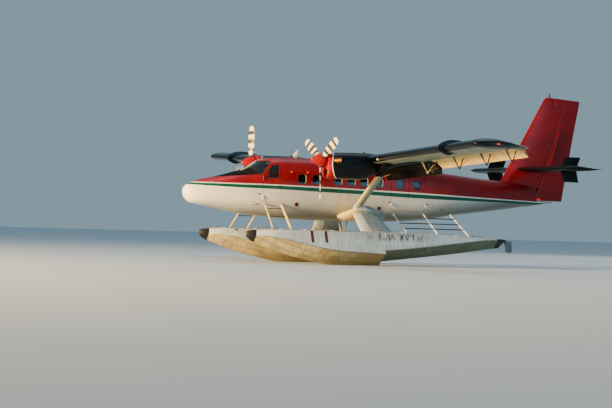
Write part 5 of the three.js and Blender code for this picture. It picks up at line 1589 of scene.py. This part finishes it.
def floats():
    hatches, metal, strips = float_fittings()
    bracket = block((11180, WATER_RUDDER["hinge"] - 18), (-12, 12), (800, 940))
    hull_finishes = [FLOAT_SIDE, DECK, SUNLIT_FORE_BOTTOM, SHADED_REAR_BOTTOM]
    rudder = "water_rudder_{}"
    for name, bm, finishes, body, replaces, slot_name, sharp in (
        ("float_hull_{}", float_hull(), hull_finishes, "airframe", "float_{}", "float_white", 24),
        ("float_hatches_{}", hatches, FAIRING, "airframe", None, "float_white", 32),
        ("float_cleats_{}", metal, RUDDER_GREY, "airframe", None, "engine_steel", 32),
        ("float_strips_{}", strips, ALUMINIUM, "airframe", None, "engine_steel", 32),
        ("float_rudder_bracket_{}", bracket, ALUMINIUM, "airframe", None, "rudder_grey", 32),
        ("float_stern_cap_{}", stern_cap(), BUMPER, "airframe", None, "bumper_rubber", 50),
        ("bumper_{}", bumper(), BUMPER, "airframe", "bow_bumper_{}", "bumper_rubber", 50),
        (rudder + "_blade", water_rudder_blade(), RUDDER_GREY, rudder, rudder, "rudder_grey", 40),
    ):
        pair(name, shifted(bm, 0, FLOAT_OUT), finishes, body, replaces, slot_name, sharp)
    vent = rounded(block((2640, 2740), (386 - FLOAT_OUT, 394 - FLOAT_OUT), (1060, 1112)), 3, 2)
    piece("float_side_vents", both(vent), SEAL_AND_GAP_SHADE)


# Struts.

# Stub fairing: out, front, back, height of the middle, half thickness
STUB = [
    (700, 5430, 7150, 1690, 175),
    (900, 5470, 7140, 1725, 178),
    (1150, 5560, 7060, 1800, 165),
    (1330, 5650, 6900, 1885, 125),
    (1420, 5730, 6600, 1920, 85),
    (1455, 5800, 6300, 1930, 45),
]
STUB_DROOP = {"nose": 110, "tail": 200}
# Above this height the strut and its upper cuff carry the wing's and nacelle's painted shadow.
STRUT_SHADOW_HEIGHT = 2975
# Sections of the main leg: out, height, middle, chord, thickness
LEG = [(-1240, 1802, 6150, 900, 160), (-1450, 1565, 6227, 1010, 178), (-1660, 1327, 6303, 1120, 197),
       (-1870, 1090, 6380, 1230, 215)]
# The rack's posts, by the stations of their tops and feet, and its bars, by their first post and share of its length
RACK_POSTS = [(7590, 7600), (8830, 8800), (9920, 10020)]
RACK_BARS = [(1, 0.2), (0, 0.45), (0, 0.69)]
# Places, as (out, height), between which the rack and the front frames are raked
RACK = ((-700, 1800), (-1840, 1060))
FRAME = ((-735, 2030), (-1760, 1110))


def stub_fairing():
    rings = []
    for out, front, back, middle, half in refined(STUB, 40):
        length = back - front
        ring = []
        for along, up in teardrop(length, 2 * half, 60):
            droop = abs(along) / length * STUB_DROOP["nose" if along < 0 else "tail"]
            ring.append(spot((front + back) / 2 + along, -out, middle + up - droop))
        rings.append(ring)
    return loft(rings)


def raked(line, high, low, t):
    """The (aft, out, height) place at a share of the way down a raked post, from its top and foot stations."""
    (out0, up0), (out1, up1) = line
    return high + (low - high) * t, out0 + (out1 - out0) * t, up0 + (up1 - up0) * t


def foot_plate(aft, half, out, height, thick):
    return rounded(block((aft - half, aft + half), out, (height, height + thick)), 6, 2)


def front_frame():
    """Two raked tubes with rungs between them, end fittings and foot plates."""
    bars, plates = [], []
    posts = ((2640, 2520), (3255, 3200))
    for (high, low), radius in zip(posts, (26, 44)):
        bars.append(pipe([raked(FRAME, high, low, t) for t in (0, 1)], radius, 24))
        for t in (0.06, 0.94):
            start, end = raked(FRAME, high, low, t), raked(FRAME, high, low, t + 0.03)
            plates.append(pipe([start, (start[0], *end[1:])], radius + 9, 24))
        plates.append(foot_plate(low, 85, (-1820, -1700), 1128, 20))
    rungs = [pipe([raked(FRAME, *post, t) for post in posts], 14, 14) for t in (0.22, 0.5)]
    return joined(*bars), joined(*plates), joined(*rungs)


def boarding_rack():
    def bar(radius, count, *places):
        return pipe([raked(RACK, *post, t) for post, t in places], radius, count)

    posts = [bar(24, 20, (post, 0), (post, 1)) for post in RACK_POSTS]
    bars = [bar(19, 14, (RACK_POSTS[first], t), (RACK_POSTS[2], t)) for first, t in RACK_BARS]
    fittings = [foot_plate(low, 60, (-1900, -1790), 1050, 22) for _, low in RACK_POSTS]
    for first, t in RACK_BARS:
        fittings += [bar(31, 16, (post, t - 0.018), (post, t + 0.018)) for post in RACK_POSTS[first:]]
    # A stay holds the last post's top, which stands off the skin.
    aft, out, height = raked(RACK, *RACK_POSTS[2], 0.02)
    fittings.append(pipe([(aft, out, height), (aft, 15 - body_half(aft, height + 70), height + 70)], 15, 14))
    return joined(*posts), joined(*bars), joined(*fittings)


def strut_finish(aft, out, height, normal):
    """The strut's upper end is black as painted shadow of the wing and nacelle, and its rear half is greyed as
    painted shade.
    """
    if height > STRUT_SHADOW_HEIGHT:
        return 1
    return 2 if normal.x > 0.06 else 0


def leg_finish(aft, out, height, normal):
    """The leg's front edge is cream as painted sunlight, its sides pale grey, and darker behind the front third as
    painted shade.
    """
    if normal.x < -0.75:
        return 1
    return 2 if aft > 6010 + (1802 - height) * 0.2 else 0


def stub_finish(aft, out, height, normal):
    """By shares of the fairing's length: cream at the front as painted sunlight, pale grey in the middle, and a
    darker grey behind as painted shade.
    """
    front, back = row_at(STUB, min(max(abs(out), STUB[0][0]), STUB[-1][0]))[1:3]
    share = (aft - front) / (back - front)
    return 0 if share < 0.33 else 1 if share < 0.52 else 2


def struts():
    strut = member((5855, -1200, 1838), (5855, -3520, 3480), teardrop(300, 92))
    strut = carved(strut, mirrored(loft([wing_ring(wing_section(0, MAIN_END), out) for out in (2000, 5000)])))
    whole = strut.verts[:] + strut.edges[:] + strut.faces[:]
    bmesh.ops.bisect_plane(strut, geom=whole, plane_co=spot(0, 0, STRUT_SHADOW_HEIGHT), plane_no=(0, 0, 1))
    cuffs = joined(
        member((5855, -1400, 1980), (5855, -1480, 2036), teardrop(335, 125)),
        member((5855, -3290, 3317), (5855, -3375, 3377), teardrop(335, 122)),
    )
    leg = loft([
        [spot(aft + a, out - b, height) for a, b in teardrop(chord, thick, 48)]
        for out, height, aft, chord, thick in LEG
    ])
    collar = loft([
        [spot(6374 + a, -1855 - b, z) for a, b in teardrop(1225 + grow, 225 + grow, 48)]
        for z, grow in ((1128, 60), (1146, 54), (1160, 10))
    ])
    tubes, plates, rungs = front_frame()
    for name, bm, finishes, rule, replaces, slot_name, sharp in (
        ("wing_strut_skin_{}", strut, [CREAM_ENAMEL_AND_SUNLIT, FLAP_SHADOW_BLACK, STRUT_PAINTED_SHADE], strut_finish, "wing_strut_{}",
         "strut_cream", 40),
        ("wing_strut_cuffs_{}", cuffs, [FAIRING, FLAP_SHADOW_BLACK, FAIRING_PAINTED_SHADE], strut_finish, None, "strut_cream", 40),
        ("stub_fairing_skin_{}", stub_fairing(), [CREAM_ENAMEL_AND_SUNLIT, FAIRING, FAIRING_PAINTED_SHADE], stub_finish, "stub_fairing_{}",
         "strut_cream", 40),
        ("main_leg_skin_{}", leg, [FAIRING, CREAM_ENAMEL_AND_SUNLIT, FAIRING_PAINTED_SHADE], leg_finish, "main_leg_{}", "strut_cream", 40),
        ("main_leg_collar_{}", collar, FAIRING, None, None, "strut_cream", 40),
        ("front_frame_tubes_{}", tubes, CREAM_ENAMEL_AND_SUNLIT, None, "front_frame_{}", "strut_cream", 32),
        ("front_frame_plates_{}", plates, ALUMINIUM, None, None, "engine_steel", 32),
        ("front_frame_rungs_{}", rungs, RACK_BROWN, None, None, "engine_steel", 32),
    ):
        pair(name, dress(bm, rule) if rule else bm, finishes, "airframe", replaces, slot_name, sharp, -1)
    half = FLOAT_OUT - 200
    wide = [(a * 75, b * 38) for a, b in circle(1, 28)]
    front, main = [member((aft, -half, 1050), (aft, half, 1050), wide) for aft in (3240, 6010)]
    legs = [pipe([(6010 + foot, 0, 1050), (top, 0, 1560)], 28, 20) for foot, top in ((-30, 5850), (30, 6230))]
    posts, bars, fittings = boarding_rack()
    wires = [pipe([(3240, out, 1085), (aft, out * 5.5, 1545)], 7, 8) for out, aft in ((-62, 3200), (62, 3330))]
    for side in (-1, 1):
        wires.append(pipe([(3240, side * 1300, 1070), (5980, side * -1300, 1070)], 6, 8))
        wires.append(pipe([(3270, side * 1200, 1080), (3290, side * 640, 1700)], 7, 8))
    for name, bm, finish, replaced, slot_name in (
        ("spreader_bar_front", front, CREAM_ENAMEL_AND_SUNLIT, ("spreader_front",), "strut_cream"),
        ("spreader_bar_main", joined(main, *legs), CREAM_ENAMEL_AND_SUNLIT, ("spreader_main",), "strut_cream"),
        ("rack_posts", posts, WHITE_ENAMEL_AND_HIGHLIGHT, ("boarding_rack",), "strut_cream"),
        ("rack_bars", bars, RACK_BROWN, (), "engine_steel"), ("rack_fittings", fittings, STEEL, (), "engine_steel"),
        ("bracing_wires", joined(*wires), STEEL, (), "engine_steel"),
    ):
        piece(name, bm, finish, "airframe", replaced)


# Small things on the skin.


def skin_disc(aft, height, radius, thick, proud):
    """A round cap that lies on the port side's skin."""
    tilt = math.atan((body_half(aft, height + 20) - body_half(aft, height - 20)) / 40)
    cap = disc((0, 0, 0), radius, thick)
    bmesh.ops.translate(cap, vec=-spot(0, 0, 0), verts=cap.verts[:])
    bmesh.ops.rotate(cap, cent=(0, 0, 0), matrix=Matrix.Rotation(tilt, 3, "X"), verts=cap.verts[:])
    out = -body_half(aft, height) - (proud - thick / 2) * math.cos(tilt)
    bmesh.ops.translate(cap, vec=spot(aft, out, height), verts=cap.verts[:])
    return cap


def skin_details():
    blade = rounded(side_plate([(3950, 3560), (4160, 3560), (4300, 3830), (4190, 3868)], -14, 14, 16), 5, 2, 50)
    beacon = joined(disc((3930, 0, 3600), 46, 60, "Z"), disc((3930, 0, 3640), 30, 30, "Z"))
    caps = [skin_disc(3800, 1990, 72, 14, 6), skin_disc(6980, 1950, 68, 14, 6)]
    lamps = [skin_disc(aft, 3080, 30, 12, 6) for aft in (3580, 4180)]
    # Near-black blocks set into the skin at the steps: painted shade of their recesses.
    recesses = []
    for aft, height in ((2445, 2305), (7380, 2172), (8862, 2150), (9530, 1975)):
        out = body_half(aft, height)
        recesses.append(rounded(block((aft - 56, aft + 56), (-out - 4, -out + 12), (height - 22, height + 22)), 9, 2))
    skin = 30 - body_half(2230, 1970)
    scoop = loft([
        [spot(aft, skin - half * c, 1970 + tall * s) for c, s in circle(1, 20)]
        for aft, half, tall in ((2010, 14, 8), (2080, 52, 26), (2180, 74, 42), (2330, 84, 50), (2360, 60, 38))
    ])
    # The probes are real, and their white is a painted highlight.
    masts = [pipe([(aft, -190, height - 60), (aft + 12, -190, height + tall)], 5, 12)
             for aft, height, tall in ((2010, 3075, 140), (2090, 3100, 130), (2200, 3135, 100))]
    wipers = [
        pipe([(2215, -90, 3150), (2330, -170, 3245), (2440, -330, 3265)], 8, 10),
        pipe([(2330, -120, 3262), (2350, -440, 3180)], 6, 10),
    ]
    tail_lamp = turned([(-95, 0), (-86, 16), (-50, 28), (40, 30), (84, 18), (95, 0)], (13975, -152, 2478), 24)
    for name, bm, finish in (
        ("blade_aerial", blade, WHITE_ENAMEL_AND_HIGHLIGHT), ("roof_beacon", beacon, SEAL_AND_GAP_SHADE), ("filler_caps", both(*caps), RED_TRIM),
        ("side_lamps", both(*lamps), AMBER_LENS), ("step_recesses", both(*recesses), SOOT_AND_SHADE_BLACK),
        ("ventilation_scoops", both(scoop), FAIRING), ("pitot_masts", both(*masts), WHITE_ENAMEL_AND_HIGHLIGHT),
        ("wipers", both(*wipers), SEAL_AND_GAP_SHADE), ("tail_lamps", both(tail_lamp), RED_LENS),
    ):
        piece(name, bm, finish)
    for (side, sign), lens in zip(SIDES, (RED_LENS, CLEAR_LENS)):
        bulb = turned([(-60, 0), (-52, 15), (-24, 25), (24, 26), (56, 16), (66, 0)], (5990, sign * 9906, 3884), 24)
        piece("wing_tip_lamp_" + side, bulb, lens)


# Cabin.


def cabin():
    outline = [(2330, 2540), (2390, 2540), (2420, 2960), (2330, 3080), (2120, 3040), (2120, 3005), (2300, 3000)]
    panel = rounded(side_plate(outline, -640, 640), 10, 2, 40)
    pedestal = rounded(block((2250, 2470), (-120, 120), (FLOOR + 1, 2700)), 12, 2)
    board = kept(joined(panel, pedestal), room_form(1900, 3000, 3600))
    piece("instrument_board", board, PANEL_BLACK, replaces=("instrument_panel",))
    # The dials stand in three rows on the panel's sloping face.
    dials = [disc((2393 + (height - 2540) * 30 / 420, out, height), 40, 14, "X", 24)
             for out in (90, 200, 320, 420, 520) for height in (2690, 2800, 2905)]
    piece("dial_bezels", both(*dials), STEEL)
    turns = [math.pi * (0.95 + 1.1 * i / 12) for i in range(13)]
    yokes = []
    for out in (-385, 385):
        yokes.append(pipe([(2400, out, 2640), (2560, out, 2665)], 16, 12))
        yokes.append(pipe([(2560, out + 130 * math.cos(t), 2665 + 90 * math.sin(t)) for t in turns], 14, 10))
        yokes.append(pipe([(2560, out - 120, 2665), (2560, out + 120, 2665)], 12, 10))
    piece("control_yokes", joined(*yokes), SEAL_AND_GAP_SHADE)


# Seats: depth of the cushion, its height, the back's top, and the front edges of the rows.
SEAT = {"depth": 430, "low": 2330, "thick": 110, "top": 2960}
SEAT_ROWS = [3900, 4680, 5460, 6240, 7020]
CREW_SEAT = {"front": 2720, "inner": 150, "outer": 620}
# How deep the sewn channels are, and how wide.
SEWN = {"deep": 9, "wide": 14}


def upholstered(block_form, hold=14):
    """Foam under a sewn cover: remeshed, blown up as cloth, held to within "hold" mm and made finer once."""
    foam = scratch_object(block_form)
    voxels = foam.modifiers.new("voxels", "REMESH")
    voxels.mode = "VOXEL"
    voxels.voxel_size = 26 * MM
    cover = scratch_object(from_mesh(evaluated_mesh(foam)))
    rest = [vert.co.copy() for vert in cover.data.vertices]
    cloth = cover.modifiers.new("cover", "CLOTH")
    cloth.settings.use_pressure = True
    cloth.settings.uniform_pressure_force = 4
    cloth.settings.effector_weights.gravity = 0
    cloth.point_cache.frame_start, cloth.point_cache.frame_end = 1, 20
    for step in range(1, 21):
        bpy.context.scene.frame_set(step)
    blown = from_mesh(evaluated_mesh(cover))
    bpy.context.scene.frame_set(1)
    for vert, was in zip(blown.verts, rest):
        move = vert.co - was
        vert.co = was + move * min(1, hold * MM / max(move.length, 1e-6))
    bmesh.ops.smooth_vert(blown, verts=blown.verts[:], factor=0.5, use_axis_x=True, use_axis_y=True, use_axis_z=True)
    soft = scratch_object(blown)
    finer = soft.modifiers.new("finer", "SUBSURF")
    finer.levels = finer.render_levels = 1
    finished = from_mesh(evaluated_mesh(soft))
    discard(foam, cover, soft)
    finished.normal_update()
    return finished


def quilted(bm, lines, upright):
    """Presses sewn channels into a cushion's face: across a back at heights, or a squab at distances aft."""
    inward = Vector((1, 0, 0.17)) if upright else Vector((0, 0, -1))
    for vert in bm.verts:
        aft, height = vert.co.x / MM + LENGTH / 2, vert.co.z / MM
        place, on_face = (height, vert.normal.x < -0.4) if upright else (aft, height > SEAT["low"] + 60)
        for line in lines:
            if on_face:
                vert.co += inward * SEWN["deep"] * MM * math.exp(-(((place - line) / SEWN["wide"]) ** 2))
    return bm


def seat_cushions(width):
    """The squab and the back of a seat whose front edge is at station 0, as padded forms."""
    low, top, thick, depth = SEAT["low"], SEAT["top"], SEAT["thick"], SEAT["depth"]
    reach = (14 - width / 2, width / 2 - 14)
    squab = rounded(block((14, depth - 20), reach, (low + 8, low + thick - 14)), 26, 3)
    outline = [(depth - 62, low + 130), (depth - 2, low + 120), (depth + 92, top - 16), (depth + 54, top - 14)]
    back = rounded(side_plate(outline, *reach), 20, 3)
    return joined(
        quilted(upholstered(squab), [150, 290], False), quilted(upholstered(back, 10), [2560, 2690, 2820], True)
    )


def seat_frame(width):
    """Tube legs, pan and back posts."""
    low, depth, half = SEAT["low"], SEAT["depth"], width / 2
    parts = [rounded(block((20, depth - 30), (-half + 16, half - 16), (low - 18, low + 4)), 5, 2)]
    for side in (-1, 1):
        out, post = side * (half - 75), side * (half - 24)
        for foot, top in ((100, 60), (300, depth - 60)):
            parts.append(pipe([(foot, out, FLOOR + 24), (top, out, low - 8)], 13, 12))
        parts.append(pipe([(100, out, FLOOR + 60), (300, out, FLOOR + 60)], 10, 10))
        parts.append(pipe([(depth - 30, post, low), (depth + 96, post, SEAT["top"] - 40)], 11, 12))
    parts += [pipe([(aft, -half + 75, low - 120), (aft, half - 75, low - 120)], 10, 10) for aft in (100, 300)]
    return joined(*parts)


def floor_rail(front, rear, out, half):
    return block((front, rear), (out - half, out + half), (FLOOR + 1, FLOOR + 24))


def seats():
    inner, outer, front = CREW_SEAT["inner"], CREW_SEAT["outer"], CREW_SEAT["front"]
    crew_width, middle = outer - inner, (outer + inner) / 2
    single, double = 430, 340
    soft = {width: seat_cushions(width) for width in (crew_width, single, double)}
    hard = {width: seat_frame(width) for width in (crew_width, single, double)}
    groups = {
        "crew_seat_port": (crew_width, [(front, -middle)]), "crew_seat_starboard": (crew_width, [(front, middle)]),
        "cabin_seats_port": (single, [(row, -525) for row in SEAT_ROWS]),
        "cabin_seats_starboard": (double, [(row, out) for row in SEAT_ROWS for out in (230, 570)]),
    }
    for name, (width, places) in groups.items():
        covers = joined(*[shifted(soft[width], *place) for place in places])
        piece(name + "_cushions", covers, SEAT_CLOTH, "airframe", (name,), 80)
        frames = [shifted(hard[width], *place) for place in places]
        outs = sorted({out for _, out in places})
        if name.startswith("crew"):
            frames.append(floor_rail(2760, 3120, outs[0], 175))
        else:
            frames += [rounded(floor_rail(SEAT_ROWS[0], SEAT_ROWS[-1] + 430, out, 25), 5, 2)
                       for out in (outs[0] - width / 2 + 75, outs[-1] + width / 2 - 75)]
        piece(name + "_frames", joined(*frames), ALUMINIUM)


# name, place, aim, size, watts, colour
LAMPS = [
    ("warm_key", (-57, -8, 8), (0, 0, 2.5), 8, 124000, "#ffd694"),
    ("cool_fill", (22, -52, 12), (4, 0, 2.5), 22, 3900, "#84c8e8"),
    ("top_soft", (6, 4, 36), (0, 0, 2), 26, 3600, "#e4efff"),
    ("rear_rim", (38, 30, 18), (2, 0, 3), 14, 2600, "#fff2e0"),
]


def studio():
    floor = bmesh.new()
    bmesh.ops.create_grid(floor, x_segments=1, y_segments=1, size=260)
    ground = scratch_object(floor)
    ground.name = ground.data.name = "studio_floor"
    material, tree, shader, place = blank("pale_painted_floor", Roughness=0.85)
    wire(shader, {"Base Color": weathered(tree, place, "#ccd8e2", "#c3ced8", 6000, 0.4)})
    ground.data.materials.append(material)
    world = bpy.data.worlds.new("soft_studio")
    world.use_nodes = True
    wire(world.node_tree.nodes["Background"], {"Color": "#b4d8ea", "Strength": 0.5})
    bpy.context.scene.world = world
    for name, place, aim, size, watts, tint in LAMPS:
        lamp = bpy.data.lights.new(name, "AREA")
        lamp.shape, lamp.size, lamp.energy, lamp.color = "DISK", size, watts, colour(tint)[:3]
        made = bpy.data.objects.new(name, lamp)
        made.location = place
        made.rotation_euler = (Vector(aim) - Vector(place)).to_track_quat("-Z", "Y").to_euler()
        bpy.context.scene.collection.objects.link(made)


def camera():
    """The photograph's view: low over the ground, from ahead of the port side."""
    view = bpy.data.cameras.new("photo_camera")
    view.sensor_width, view.lens, view.clip_end = 36, 113.34, 1000
    made = bpy.data.objects.new("photo_camera", view)
    right, up = Vector((0.89146, -0.45225, 0.02774)), Vector((-0.03040, 0.00140, 0.99954))
    turn = Matrix((right, up, right.cross(up))).transposed().to_4x4()
    made.matrix_world = Matrix.Translation((-33.137, -58.861, 1.203)) @ turn
    bpy.context.scene.collection.objects.link(made)
    bpy.context.scene.camera = made


camera()
studio()
fuselage()
doors()
cabin_windows()
wings()
flaps()
nacelles()
propellers()
fin_and_rudder()
tailplane()
floats()
struts()
skin_details()
cabin()
seats()
for side, _ in SIDES:
    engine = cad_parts["engine_" + side].data
    engine.materials.clear()
    engine.materials.append(ENGINE_METAL)
